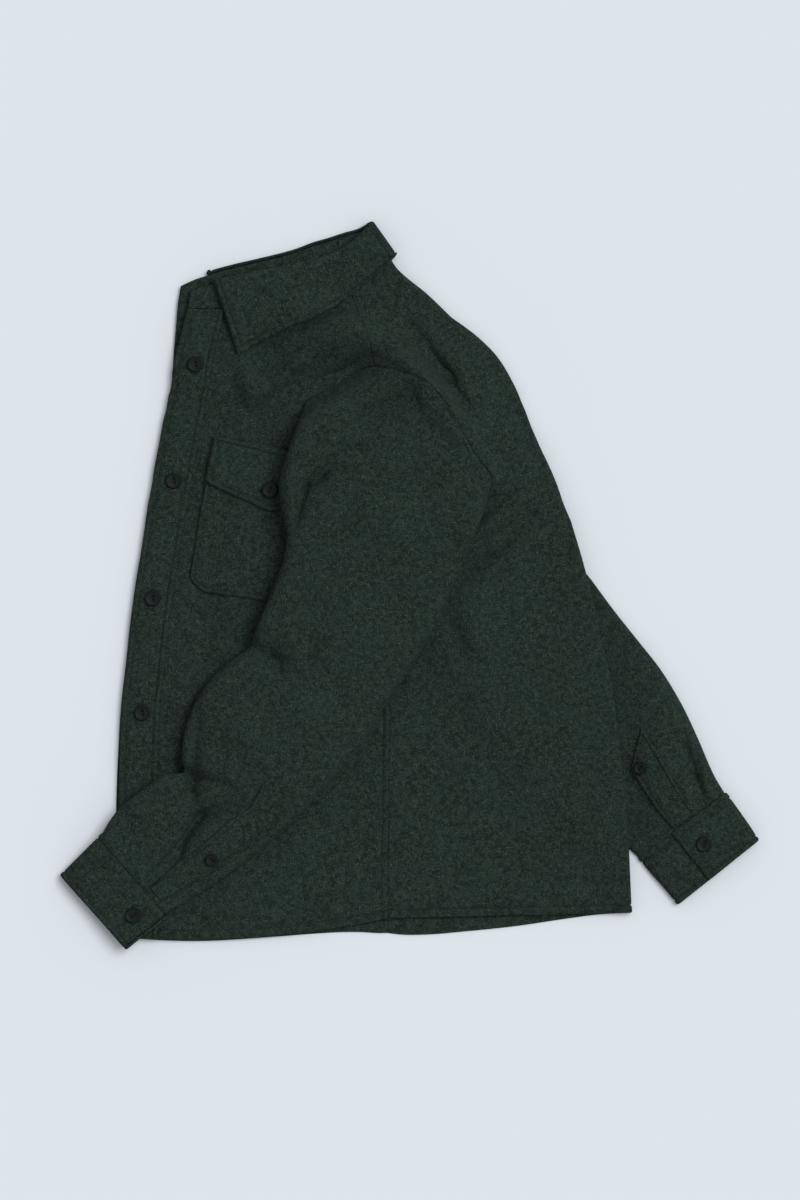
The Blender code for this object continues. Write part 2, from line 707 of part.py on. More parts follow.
def ring_shares():
    """Give each ring point's share of the way across a sleeve, and whether it is on the cap's side."""
    cap_steps = (RING_FRONT - RING_BACK) % RING
    body_steps = RING - cap_steps
    shares = []
    for i in range(RING):
        back = (RING_FRONT - i) % RING
        if back <= cap_steps:
            shares.append((0.5 - 0.5 * math.cos(math.pi * back / cap_steps), True))
        else:
            shares.append((0.5 - 0.5 * math.cos(math.pi * (i - RING_FRONT) / body_steps), False))
    return np.array([s for s, _ in shares]), np.array([c for _, c in shares])


def section_plan(section, share, cap):
    """Place the points of one sleeve section on the ground."""
    front = np.array(section[0:2], float)
    back = np.array(section[2:4], float)
    way = back - front
    square = np.array([-way[1], way[0]]) / np.linalg.norm(way)
    bulge = np.where(cap, section[4], -section[5]) * np.sin(np.pi * np.clip(share, 0, 1)) ** BULGE_POWER
    return front + share[:, None] * way + bulge[:, None] * square


def round_end(share, width, radius):
    """Give the height share of a flattened tube's folded edge, a half circle of its radius."""
    away = np.minimum(np.minimum(share, 1 - share) * width / radius, 1)
    return np.sqrt(1 - np.square(1 - away))


def dome(share, power):
    """Give the height share of a tube's crown across its width."""
    return np.maximum(0, 1 - np.abs(2 * share - 1) ** power) ** (1 / power)


def left_ring(section):
    """One ring of the left sleeve: its lower face lies on the body and its upper face is crowned."""
    share, cap = ring_shares()
    plan = section_plan(section, share, cap)
    crown, edge = section[6:8]
    rest = support(plan[:, 0], plan[:, 1]) + WALL / 2 + LAYER_GAP + 0.8
    ends = np.interp(share, [0, 1], [rest[RING_FRONT], rest[RING_BACK]]) + edge
    round_share = round_end(share, math.dist(section[0:2], section[2:4]), edge)
    rise = np.maximum(crown - ends - edge, 0)
    crease = folds_at(plan[:, 0], plan[:, 1], SLEEVE_FOLDS) * dome(share, 4)
    top = ends + edge * round_share + rise * dome(share, 2.2) + crease
    bottom = rest + edge * (1 - round_share)
    return np.column_stack([plan, np.where(cap, np.maximum(top, rest + 3.4 * round_share), bottom)])


def right_ring(section):
    """One ring of the right sleeve: it lies on the surface, flatter where the body covers it."""
    share, cap = ring_shares()
    plan = section_plan(section, share, cap)
    crown, edge = section[6:8]
    outside = ease((-inside(plan[:, 0], plan[:, 1], BODY_OUTLINE) - 4) / 45)
    edge = HIDDEN_EDGE + (edge - HIDDEN_EDGE) * outside
    round_share = round_end(share, math.dist(section[0:2], section[2:4]), edge)
    rise = np.maximum(crown - 2 * edge - WALL / 2, 0) * outside
    bottom = WALL / 2 + edge * (1 - round_share)
    top = WALL / 2 + edge * (1 + round_share) + rise * dome(share, 2.2)
    return np.column_stack([plan, np.where(cap, bottom, top)])


def armhole_ring(front_cloth, back_cloth_half):
    """List the armhole's edge points round from the shoulder by the front to the underarm and back."""
    start = BODY_ROWS[0]
    rows = BODY_ROWS[1]
    front = [front_cloth[start + k] for k in range(rows)]
    back = [back_cloth_half[start + k] for k in range(rows, 0, -1)]
    return np.array(front + back)


def sleeve_lap():
    """Say for each ring point how far the sleeve laps on the body instead of butting against it."""
    i = np.arange(RING)
    return np.where(i <= RING // 2, ease((i - 1.0) / 4), ease((21.0 - i) / 5))


def left_sleeve_cloth(front_cloth, back):
    """Middle surface of the left sleeve: butted to the armhole over the shoulder, lapped on the body below."""
    edge = armhole_ring(front_cloth[:, -1], back[:, 0])
    rings = [left_ring(section) for section in LEFT_SLEEVE]
    first = rings[0]
    way = first - edge
    way = way / np.linalg.norm(way, axis=-1)[:, None]
    lap = sleeve_lap()
    start = edge + way * (CAP_SEAM * (1 - lap))[:, None]
    over = support(edge[:, 0], edge[:, 1]) + WALL / 2 + LAYER_GAP
    start[:, 2] += lap * (over - edge[:, 2])
    return np.stack([start] + rings)


def right_sleeve_cloth(front_cloth, back):
    """Middle surface of the right sleeve, whose top end lies under the edge of the armhole."""
    edge = armhole_ring(front_cloth[:, 0], back[:, -1])
    rings = [right_ring(section) for section in RIGHT_SLEEVE]
    cap = ring_shares()[1]
    i = np.arange(RING)
    i = np.where(i < RING_FRONT, i + RING, i)
    place = np.interp(i, HIDDEN_RING, HIDDEN_HOLE) % RING
    closed = np.concatenate([edge, edge[:1]])
    start = np.stack([np.interp(place, np.arange(RING + 1), closed[:, axis]) for axis in range(3)], 1)
    start[:, 2] = np.where(cap, WALL / 2, WALL / 2 + 2 * HIDDEN_EDGE)
    start[[RING_FRONT, RING_BACK], 2] = WALL / 2 + HIDDEN_EDGE
    between = [start + (rings[0] - start) * k / HIDDEN_STEPS for k in range(HIDDEN_STEPS)]
    return np.stack(between + rings)


def cuff_cloth(rings, normal, first, way):
    """Middle surface of a cuff: a band round the wrist whose end laps over its start."""
    steps = int(round(RING * (1 + CUFF_OVERLAP)))
    columns = []
    for k in range(steps + 1):
        i = (first + way * k) % RING
        lap = CUFF_LAP * ease((k - RING * (1 - CUFF_OVERLAP) + 1) / (RING * CUFF_OVERLAP))
        columns.append(rings[:, i] + normal[:, i] * lap)
    cloth = np.stack(columns, 1)
    way_along = cloth[1] - cloth[0]
    cloth[0] += way_along * (SEAM_GAP / np.linalg.norm(way_along, axis=1))[:, None]
    return cloth


def make_material(name, colour, roughness):
    """Make a plain finish."""
    material = bpy.data.materials.new(name)
    material.use_nodes = True
    shader = material.node_tree.nodes["Principled BSDF"]
    shader.inputs["Base Color"].default_value = (*colour, 1)
    shader.inputs["Roughness"].default_value = roughness
    shader.inputs["Metallic"].default_value = 0
    return material


def make_piece(name, vertices, triangles, colour=(0.018, 0.032, 0.026), roughness=0.92):
    """Make one named piece with its own finish, from points in millimetres."""
    mesh = bpy.data.meshes.new(name)
    placed = (np.asarray(vertices) - MIDDLE) * MM
    mesh.from_pydata([tuple(v) for v in placed], [], [tuple(map(int, t)) for t in triangles])
    mesh.validate()
    mesh.shade_smooth()
    mesh.set_sharp_from_angle(angle=math.radians(50))
    piece = bpy.data.objects.new(name, mesh)
    piece.data.materials.append(make_material(name + "_finish", colour, roughness))
    bpy.context.collection.objects.link(piece)
    return piece


def make_patch(name, cloth, normal, row, column, out):
    """Make a piece that lies on a cloth, from that cloth's points moved out."""
    points = on_cloth(cloth, row, column)
    away = on_cloth(normal, row, column)
    away = away / np.linalg.norm(away, axis=-1)[..., None]
    make_piece(name, *slab(points, away, out=out))


def button_profile():
    """List a button's rings: radius share, height share, and how far the ring is squeezed to an eye shape."""
    return (
        (0.80, 0.0, 0.0),
        (1.00, 0.28, 0.0),
        (1.00, 0.62, 0.0),
        (0.88, 1.0, 0.0),
        (0.74, 0.86, 0.0),
        (0.52, 0.80, 0.25),
        (0.34, 0.50, 0.45),
    )


def make_button(name, centre, normal, diameter, turn=0.0):
    """Make a round button with a raised rim and an eye-shaped hollow."""
    radius = diameter / 2
    normal = normal / np.linalg.norm(normal)
    side = np.cross(normal, (math.sin(turn), math.cos(turn), 0))
    side = side / np.linalg.norm(side)
    up = np.cross(side, normal)
    rings = []
    for reach, height, eye in button_profile():
        angle = 2 * np.pi * np.arange(BUTTON_SIDES) / BUTTON_SIDES
        a = radius * reach * np.cos(angle) * (1 - eye)
        b = radius * reach * np.sin(angle) * (1 + 0.2 * eye)
        base = centre + normal * (0.7 + BUTTON_DEPTH * height)
        rings.append(base + a[:, None] * side + b[:, None] * up)
    vertices = np.concatenate(rings + [[centre + normal * 0.7], [centre + normal * (0.7 + 0.45 * BUTTON_DEPTH)]])
    bottom = len(rings) * BUTTON_SIDES
    top = bottom + 1
    triangles = []
    for k in range(BUTTON_SIDES):
        n = (k + 1) % BUTTON_SIDES
        triangles.append((bottom, k, n))
        last = (len(rings) - 1) * BUTTON_SIDES
        triangles.append((top, last + n, last + k))
        for r in range(len(rings) - 1):
            a, b = r * BUTTON_SIDES, (r + 1) * BUTTON_SIDES
            triangles.append((a + k, b + n, a + n))
            triangles.append((a + k, b + k, b + n))
    make_piece(name, vertices, triangles, (0.012, 0.013, 0.016), 0.38)


def button_on(name, cloth, normal, row, column, out, diameter, turn=0.0):
    """Sew a button on a cloth at a row and column, clear of what lies between."""
    centre = on_cloth(cloth, row, column)
    away = on_cloth(normal, row, column)
    away = away / np.linalg.norm(away)
    make_button(name, centre + away * out, away, diameter, turn)


def build():
    """Make every piece of the shacket."""
    front = left_front_cloth()
    front_out = normals(front)
    back = back_cloth()
    right = right_front_cloth()
    make_piece("left_front", *slab(front, front_out))
    make_piece("back", *slab(back, normals(back)))
    make_piece("right_front", *slab(right, normals(right)))

    skin = WALL + PATCH_GAP
    row, column = np.meshgrid(np.arange(len(front)), np.arange(FRONT_STEPS[0] + 1), indexing="ij")
    make_patch("front_placket", front, front_out, row, column, skin)
    for number, (level, inset) in enumerate(FRONT_BUTTONS, 1):
        column = inset / PLACKET_WIDTH * FRONT_STEPS[0]
        name = "front_button_%d" % number
        button_on(name, front, front_out, row_of(level), column, skin + WALL / 2, FRONT_BUTTON)

    pocket_first = FRONT_STEPS[0] + FRONT_STEPS[1]
    pocket_last = pocket_first + FRONT_STEPS[2]
    pocket_rows = lines_between(row_of(1.667), row_of(2.2))
    row, column = np.meshgrid(pocket_rows, np.arange(pocket_first, pocket_last + 1.0), indexing="ij")
    row[-1, 0] -= 0.45
    row[-1, -1] -= 0.45
    make_patch("chest_pocket", front, front_out, row, column, skin)

    corner_row, point_row = row_of(1.86), row_of(1.97)
    columns = np.arange(pocket_first, pocket_last + 1.0)
    reach = np.interp(columns, [pocket_first, FLAP_POINT, pocket_last], [0, 1, 0])
    low = corner_row + (point_row - corner_row) * reach
    share = np.linspace(0, 1, 4)[:, None]
    start = row_of(1.64)
    row = start + (low[None, :] - start) * share
    column = np.broadcast_to(columns, row.shape)
    flap_step = 2 * skin + 1.0
    make_patch("pocket_flap", front, front_out, row, column, flap_step)
    place = row_of(POCKET_BUTTON[0]), POCKET_BUTTON[1]
    button_on("pocket_button", front, front_out, *place, flap_step + WALL / 2, FRONT_BUTTON)

    neck = np.concatenate([front[0], back[0], right[0]])
    kinds = neck_kinds()
    stand = collar_stand_cloth(neck, kinds)
    make_piece("collar_stand", *slab(stand, normals(stand)))
    leaf = collar_leaf_cloth(kinds)
    make_piece("collar_leaf", *slab(leaf, normals(leaf)))

    sleeve = left_sleeve_cloth(front, back)
    sleeve_out = -normals(sleeve, ring=True)
    back_out = normals(back)
    body_out = armhole_ring(front_out[:, -1], back_out[:, 0])
    lap = sleeve_lap()[:, None]
    start_out = sleeve_out[0] * lap + body_out * (1 - lap)
    sleeve_out[0] = start_out / np.linalg.norm(start_out, axis=1)[:, None]
    make_piece("left_sleeve", *slab(sleeve, sleeve_out, ring=True))
    under_sleeve = right_sleeve_cloth(right, back)
    under_out = normals(under_sleeve, ring=True)
    along = np.gradient(under_sleeve, axis=0)
    for i, sign in ((RING_FRONT, 1), (RING_BACK, -1)):
        aside = np.cross(along[:, i], (0, 0, sign))
        under_out[:, i] = aside / np.linalg.norm(aside, axis=1)[:, None]
    make_piece("right_sleeve", *slab(under_sleeve, under_out, ring=True))
    make_sleeve_end("left", sleeve, sleeve_out, LEFT_CUFF, left_ring)
    make_sleeve_end("right", under_sleeve, under_out, RIGHT_CUFF, right_ring)


def make_sleeve_end(side, sleeve, sleeve_out, cuff_sections, ring):
    """Make the cuff, the sleeve placket and their buttons."""
    rings = np.stack([ring(section) for section in cuff_sections])
    first, way, cuff_button, strip_columns, strip_rows, strip_button = SLEEVE_ENDS[side]
    wrapped_out = normals(rings, ring=True) * (-1 if side == "left" else 1)
    cloth = cuff_cloth(rings, wrapped_out, first, way)
    cloth_out = normals(cloth)
    if np.sum(cloth_out[:, 1] * wrapped_out[:, (first + way) % RING]) < 0:
        cloth_out = -cloth_out
    make_piece(side + "_cuff", *slab(cloth, cloth_out))
    wrapped = np.concatenate([rings, rings[:, :1]], 1)
    wrapped_out = np.concatenate([wrapped_out, wrapped_out[:, :1]], 1)
    button_on(side + "_cuff_button", wrapped, wrapped_out, *cuff_button, FRONT_BUTTON)

    closed = np.concatenate([sleeve, sleeve[:, :1]], 1)
    closed_out = np.concatenate([sleeve_out, sleeve_out[:, :1]], 1)
    low, high, wide = strip_columns
    columns = lines_between(low, high)
    start, end = max(strip_rows[:2]), strip_rows[2]
    row, column = np.meshgrid(lines_between(start, end), columns, indexing="ij")
    column = low + (column - low) * (1 + (wide - high) / (high - low) * (end - row) / (end - start))
    row[0] = np.interp(columns, (low, high), strip_rows[:2])
    skin = WALL + STRIP_GAP
    make_patch(side + "_sleeve_placket", closed, closed_out, row, column, skin)
    button_on(side + "_placket_button", closed, closed_out, *strip_button, skin + WALL / 2, PLACKET_BUTTON)


def clear_scene():
    """Remove what the scene holds."""
    for item in list(bpy.data.objects):
        bpy.data.objects.remove(item, do_unlink=True)


clear_scene()
build()
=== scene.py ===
import math

import bpy
import numpy as np
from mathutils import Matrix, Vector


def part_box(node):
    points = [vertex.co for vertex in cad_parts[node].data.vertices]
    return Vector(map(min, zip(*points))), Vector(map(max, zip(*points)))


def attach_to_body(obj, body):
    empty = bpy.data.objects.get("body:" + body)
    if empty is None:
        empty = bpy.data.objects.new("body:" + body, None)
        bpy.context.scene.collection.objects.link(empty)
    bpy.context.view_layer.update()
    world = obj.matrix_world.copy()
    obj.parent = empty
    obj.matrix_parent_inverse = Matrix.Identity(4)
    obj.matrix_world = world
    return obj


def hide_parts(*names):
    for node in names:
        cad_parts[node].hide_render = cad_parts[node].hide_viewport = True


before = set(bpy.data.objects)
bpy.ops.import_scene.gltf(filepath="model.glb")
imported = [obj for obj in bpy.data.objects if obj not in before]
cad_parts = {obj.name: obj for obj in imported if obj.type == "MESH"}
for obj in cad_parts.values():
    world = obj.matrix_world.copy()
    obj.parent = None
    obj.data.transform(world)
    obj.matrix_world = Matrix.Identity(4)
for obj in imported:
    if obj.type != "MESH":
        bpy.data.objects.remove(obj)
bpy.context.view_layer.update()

bl_info = {
    "name": "Wool shacket",
    "version": (1, 0, 0),
    "blender": (4, 5, 0),
    "location": "3D View > Sidebar > Shacket",
    "description": "Felted wool shacket, buttoned, folded at the centre back and laid flat on its right side",
    "category": "Object",
}

# Sizes are in millimetres on the ground that the garment covers, until a mesh is made
MM = 0.001
MIDDLE = np.array((0.08, -4.81, 0.0))

# Cloth: its wall, the gaps between its layers and the lifts of what it lies on
WALL = 2.4
LAYER_GAP = 1.3
SLACK = 1.5
PATCH_GAP = 0.5
STRIP_GAP = 1.4
SKIN = WALL + PATCH_GAP
SLEEVE_LIFT = 7.6
CAP_LIFT = 3.2
LEAF_LIFT = 4.7
LIFT_MARGIN = 14.0
LIFT_RAMP = 54.0
TRIM_LIFT = 7.0

# Body: its skirt, the roll at the back fold and the shoulder ridge's widths
SKIRT = 445.0
FOLD_WAY = (0.855, 0.518)
BACK_ROLL = 1.5
BACK_ROLL_WIDTH = 24.0
RIDGE_BACK_WIDTH = 17.0
RIDGE_FRONT_WIDTH = 44.0

# Trim, with its levels on the body and its columns of the front
PLACKET_WIDTH = 42.0
POCKET_INSET = 58.0
POCKET_WIDTH = 130.0
POCKET_LIMIT = 0.88
POCKET_LEVELS = (1.667, 2.2)
CORNER_WIDTH = 20.0
CORNER_DROP = 11.0
FLAP_LENGTH = 62.0
FLAP_LEVELS = (1.64, 1.86, 1.97)
FLAP_POINT = 5.35
NECK_LENGTH = 226.0
LEAF_DEPTH = 78.0
LEAF_START = 0.135
COLLAR_LAP = 4.4
COLLAR_SEAM = 1.0
CUFF_LENGTH = 66.0
CUFF_LAP = 3.0
CUFF_OVERLAP = 0.14

# Sleeves: their ring points, counted round from the shoulder, and how full they lie
RING = 24
RING_FRONT = 5
RING_BACK = 16
HIDDEN_STEPS = 3
HIDDEN_RING = (5, 15, 16, 28, 29)
HIDDEN_HOLE = (10, 17, 19, 29.6, 34)
HIDDEN_EDGE = 2.0
BULGE_POWER = 0.7
SLEEVE_EASE = 0.8
SLEEVE_ROOM = 3.4
CROWN_POWER = 2.2
FLAT_POWER = 4

COARSE = 1.0
RING_PARTS = 8
ROLL_STEPS = 12
BEND_ROWS = 8
NECK_ROWS = 28
HOLE_ROWS = 60
POCKET_STEPS = 42
SIDE_STEPS = 24
BACK_STEP = 3.2 * COARSE
UNDER_STEP = 5.5 * COARSE
FIRST_STEP = 0.02
SEAM_ROWS = (0.012, 0.026, 0.044)
STITCH_LINES = (-1.7, -0.8, 0.0, 0.8, 1.7)
FRONT_COLUMNS = (0, 2, 3, 7, 10)
POCKET_COLUMN = 3
POCKET_COLUMNS = 4
LAST_COLUMN = 10
BUTTON_RINGS = 30
BUTTON_SIDES = 64
BUTTON_EDGE = ((0.99, 0.24), (0.93, 0.08), (0.80, 0.0))

# Sewing: the groove of a stitch line, the rim and groove of the armhole seam, and a distance past any edge
STITCH_GROOVE = 1.25
SEAM_RIM = 0.7
SEAM_GROOVE = 1.6
FAR = 99.0

# Places of the stitch lines, in from the edges
HEM_STITCH = 9.5
SIDE_STITCH = 7.2
PLACKET_STITCH = 6.2
POCKET_STITCH = 4.2
FLAP_STITCH = 6.0
COLLAR_STITCH = 6.4
CUFF_STITCH = 6.2
STRIP_STITCH = 3.6

BODY_COLUMNS = ("level", "edge_x", "edge_y", "front_x", "front_y", "back_x", "back_y", "fold_x", "fold_y")
BODY_SECTIONS = (
    (0.000, -243, 301, -70, 336, -69, 336, -29, 369),
    (0.330, -249, 279, -58, 302, -57, 302, -10, 342),
    (0.670, -255, 255, -45, 271, -44, 271, 20, 317),
    (1.000, -260, 230, -38, 238, -36, 238, 47, 291),
    (1.083, -260, 224, -50, 235, -18, 235, 61, 281),
    (1.167, -261, 217, -62, 229, 1, 229, 74, 271),
    (1.250, -262, 211, -75, 219, 18, 221, 86, 260),
    (1.333, -264, 205, -94, 209, 32, 207, 97, 248),
    (1.417, -265, 199, -111, 199, 45, 189, 107, 233),
    (1.500, -267, 189, -108, 182, 59, 161, 119, 210),
    (1.583, -270, 178, -88, 156, 76, 135, 131, 184),
    (1.667, -272, 167, -71, 127, 90, 117, 142, 160),
    (1.750, -276, 146, -59, 107, 82, 96, 153, 134),
    (1.833, -280, 125, -48, 89, 59, 79, 163, 107),
    (1.917, -283, 105, -33, 72, 25, 65, 170, 86),
    (2.000, -287, 85, -15, 58, -14, 58, 178, 67),
    (2.100, -293, 43, -18, 13, -16, 13, 191, 23),
    (2.200, -300, 1, -20, -42, -18, -42, 203, -24),
    (2.300, -306, -43, -20, -80, -19, -80, 213, -69),
    (2.400, -311, -91, -21, -120, -19, -120, 223, -113),
    (2.500, -316, -139, -21, -162, -20, -162, 229, -157),
    (2.600, -318, -188, -22, -204, -20, -204, 234, -199),
    (2.700, -319, -237, -22, -246, -21, -246, 238, -240),
    (2.800, -319, -288, -23, -288, -21, -288, 241, -282),
    (2.900, -318, -339, -23, -328, -21, -328, 243, -323),
    (3.000, -318, -390, -23, -369, -21, -368, 245, -363),
)
SAG_COLUMNS = ("level", "front", "back", "under_edge_x", "under_edge_y", "under_mid_x", "under_mid_y")
SAG_SECTIONS = (
    (0.0, 12, 2, -11, 6, -1, 11),
    (0.5, 6, 0, -5, 3, 0, 5),
    (1.0, 0, 0, 0, 0, 0, 0),
    (2.0, 0, 0, 0, 0, 0, 0),
    (2.5, 0, 0, -1, 0, 0, -2),
    (2.8, 3, 0, -3, 0, 0, -8),
    (3.0, 11, 0, -1, 0, 0, -19),
)

# Share of the shift of the right half across the way to the fold, above and below the underarm
SHIFT_WAY = (0.0, 0.15, 0.3, 0.39, 0.43, 0.47, 0.51, 0.55, 0.6, 0.68, 0.78, 0.86, 0.94, 1.0)
SHIFT_ABOVE = (0.0, 0.5, 0.85, 0.96, 1.02, 1.07, 1.13, 1.2, 1.33, 1.6, 1.57, 1.25, 0.55, 0.0)
SHIFT_BELOW = (0.0, 0.07, 0.05, 0.16, 0.28, 0.48, 0.78, 0.97, 1.0, 0.86, 0.61, 0.31, 0.06, 0.0)

# Folds: start, end, height at the start, middle and end, and width on each side of the way
BODY_FOLDS = (
    (-30, 256, -108, 206, -13, -17, -14, 13, 10),
    (-108, 206, -190, 166, -12, -8, 0, 15, 14),
    (-150, 285, -90, 262, 5, 9, 5, 30, 34),
    (-205, 235, -198, 165, -3, -4, 0, 10, 12),
    (-232, 150, -246, 20, -1, -2, -1, 9, 9),
    (-215, 20, -175, -70, 1, 5, 1, 16, 18),
    (-170, -40, -205, -110, 0, -3, 0, 14, 14),
    (25, 280, 105, 170, 2, 5, 2, 22, 26),
    (56, 8, 135, 75, -9, -12, -5, 6, 6),
    (52, 36, 127, 98, 5, 10, 4, 9, 12),
    (74, -2, 150, 58, 3, 7, 2, 12, 10),
    (92, 112, 168, 162, 4, 6, 3, 10, 14),
    (60, -10, 85, -90, 2, 7, 0, 18, 18),
    (45, -30, 60, -95, 0, -4, 0, 8, 8),
    (150, -60, 175, -200, 0, 2, 0, 30, 30),
    (-240, 305, -80, 345, 2, 3, 1, 24, 24),
)

# Finer creases of the upper half, and shallow ones of the half that lies underneath
FINE_FOLDS = (
    (-48, 264, -2, 238, 2, 4, 4, 6, 6),
    (-2, 238, 42, 202, 4, 5, 3, 6, 6),
    (42, 202, 74, 150, 3, 3, 0, 6, 6),
    (2, 276, 42, 226, -6, -13, -12, 8, 9),
    (42, 226, 76, 166, -12, -12, -3, 8, 9),
    (-196, 250, -118, 281, 0, -5, -6, 5, 5),
    (-118, 283, -62, 311, -6, -12, -10, 4, 8),
    (-62, 311, -13, 347, -10, -6, -1, 4, 8),
    (-186, 258, -168, 176, 1, 6, 1, 13, 9),
    (-44, 290, -122, 240, 2, 10, 7, 9, 12),
    (-122, 240, -184, 196, 7, 8, 0, 9, 12),
    (128, 205, 166, 118, 2, 8, 2, 14, 8),
    (20, 262, 62, 206, 1, 4, 2, 10, 8),
    (96, 176, 140, 196, -1, -4, -1, 10, 10),
    (-152, 124, -166, -63, -3, -9, -4, 8, 13),
    (-186, 124, -196, -40, 0, 4, 0, 12, 12),
    (110, 200, 150, 120, 0, -3, 0, 12, 12),
    (110, 165, 125, 90, 0, 2, 0, 10, 12),
    (130, 20, 165, -60, 0, -1.6, 0, 14, 18),
    (20, -180, 60, -300, 0, -1.4, 0, 22, 20),
    (120, -210, 150, -330, 0, 1.6, 0, 24, 26),
    (190, -120, 205, -260, 0, -1.2, 0, 16, 16),
    (-255, -60, -225, -130, 0, 1.6, 0, 8, 10),
    (-235, -20, -214, -100, 0, -1.8, 0, 8, 8),
    (-262, 120, -240, 30, 0, 1.2, 0, 10, 10),
    (-180, 230, -150, 195, 0, 2.2, 0, 9, 11),
    (-225, 255, -215, 215, 0, -2.0, 0, 7, 9),
)
UNDER_FOLDS = (
    (-250, 180, -60, 120, 0, 1.1, 0, 26, 22),
    (-180, 20, -60, -90, 0, 1.0, 0, 24, 20),
    (-280, -190, -120, -260, 0, 1.2, 0, 22, 26),
    (20, 60, 150, -30, 0, 1.1, 0, 24, 24),
    (40, -200, 190, -270, 0, 1.0, 0, 28, 22),
)
RIDGE_COLUMNS = ("x", "y", "height")
SHOULDER_RIDGE = (
    (-128, 306, 6), (-100, 292, 13), (-82, 282, 20), (-43, 270, 28), (-11, 246, 34),
    (20, 218, 37), (47, 188, 35), (76, 140, 22), (90, 112, 9), (92, 96, 2),
)
COLLAR_COLUMNS = ("seam_x", "roll_x", "roll_y", "edge_x", "edge_y")
COLLAR_STATIONS = (
    (-243, -241, 324, -220, 244),
    (-229, -228, 329, -205, 246),
    (-215, -215, 332, -189, 250),
    (-190, -195, 336, -166, 262),
    (-162, -167, 342, -138, 277),
    (-131, -138, 348, -109, 289),
    (-100, -106, 355, -81, 304),
    (-78, -87, 361, -62, 317),
    (-61, -70, 370, -43, 332),
    (-45, -56, 381, -28, 344),
    (-29, -40, 398, -13, 360),
)

# Sleeve sections: front side, back side, bulge towards the shoulder and the hem, crown height and edge radius
LEFT_SLEEVE = (
    (-123, 168, 84, 90, 62, 82, 45, 9),
    (-134, 137, 80, 75, 45, 66, 46, 10),
    (-141, 109, 73, 58, 28, 52, 45, 10),
    (-139, 82, 64, 36, 14, 38, 44, 10),
    (-133, 54, 54, 12, 5, 23, 42, 10),
    (-136, 27, 42, -15, 0, 11, 41, 10),
    (-144, 3, 30, -42, 0, 3, 40, 10),
    (-155, -23, 14, -71, 0, 0, 40, 10),
    (-167, -52, -4, -101, 0, 0, 40, 10),
    (-175, -73, -21, -125, 0, 0, 39, 9),
    (-196, -87, -35, -148, 0, 0, 39, 9),
    (-217, -107, -47, -169, 0, 0, 39, 9),
    (-232, -129, -62, -190, 0, 0, 38, 9),
    (-242, -152, -78, -210, 0, 0, 38, 9),
    (-247, -177, -96, -228, 0, 0, 37, 9),
    (-248, -197, -114, -248, 0, 0, 36, 8),
    (-246, -209, -133, -267, 0, 0, 34, 7),
    (-267, -212, -153, -284, 0, 0, 33, 6),
    (-285, -223, -174, -301, 0, 0, 32, 5),
    (-302, -236, -197, -318, 0, 0, 30, 5),
    (-317, -249, -220, -334, 0, 0, 28, 4),
    (-328, -263, -243, -348, 0, 0, 26, 4),
    (-336, -277, -264, -359, 0, 0, 25, 4),
)
RIGHT_SLEEVE = (
    (32, -19, 199, 3, 0, 0, 8, 3),
    (70, -74, 224, -31, 0, 0, 10, 4),
    (107, -124, 251, -65, 0, 0, 12, 4),
    (142, -171, 276, -97, 0, 0, 13, 4),
    (174, -212, 299, -135, 0, 0, 14, 4),
    (204, -248, 317, -173, 0, 0, 14, 4),
    (229, -278, 333, -210, 0, 0, 14, 4),
    (254, -302, 347, -234, 0, 0, 13, 4),
)
LEFT_CUFF = (
    (-336, -277, -264, -359, 0, 0, 25, 4),
    (-351, -292, -281, -373, 0, 0, 23, 4),
    (-367, -308, -298, -386, 0, 0, 21, 4),
    (-382, -323, -314, -399, 0, 0, 19, 4),
)
RIGHT_CUFF = (
    (254, -302, 347, -234, 0, 0, 13, 4),
    (268, -319, 359, -251, 0, 0, 13, 4),
    (283, -336, 371, -268, 0, 0, 12, 4),
    (297, -353, 382, -285, 0, 0, 12, 4),
)
LEFT_SLEEVE_FOLDS = (
    (-102, 117, -50, 153, -8, -7, -3, 9, 12),
    (-72, 176, -2, 200, -4, -14, -5, 15, 14),
    (-92, 115, -111, 104, -9, -13, -12, 4, 6),
    (-111, 104, -127, 52, -12, -11, -3, 3, 7),
    (-126, 138, -136, 84, 0, 4, 0, 8, 8),
    (-152, -62, -142, -112, 0, -5, 0, 9, 9),
    (-104, -52, -110, -105, 0, -5, 0, 9, 10),
    (-231, -128, -239, -226, -3, -8, -8, 8, 10),
    (-239, -226, -231, -256, -8, -6, -4, 8, 8),
    (-174, -72, -120, -98, -12, -9, -1, 9, 13),
    (-246, -209, -180, -232, -12, -8, -1, 8, 11),
    (-287, -328, -258, -296, -8, -12, -12, 4, 10),
    (-258, -296, -231, -256, -13, -13, -11, 4, 8),
    (-231, -256, -184, -236, -10, -8, 0, 5, 10),
    (-84, 168, -30, 214, 3, 6, 2, 7, 9),
    (-60, 90, 10, 20, 0, 4, 0, 26, 22),
    (-20, 130, 40, 80, 0, -4, 0, 20, 20),
    (-100, 10, -30, -90, 0, 4, 0, 24, 18),
    (-70, 40, -130, -40, 0, -3, 0, 20, 20),
    (-140, -105, -100, -170, 0, 4, 0, 20, 20),
    (-205, -135, -150, -195, 0, 4, 0, 18, 16),
)
RIGHT_SLEEVE_FOLDS = (
    (301, -162, 306, -183, 0, -2, -4, 5, 7),
    (306, -183, 317, -214, -4, -5, -5, 4, 8),
    (317, -214, 324, -237, -5, -6, -5, 4, 9),
    (276, -180, 300, -230, 0, 1.5, 0, 12, 10),
    (255, -110, 285, -160, 0, 1.5, 0, 14, 12),
)

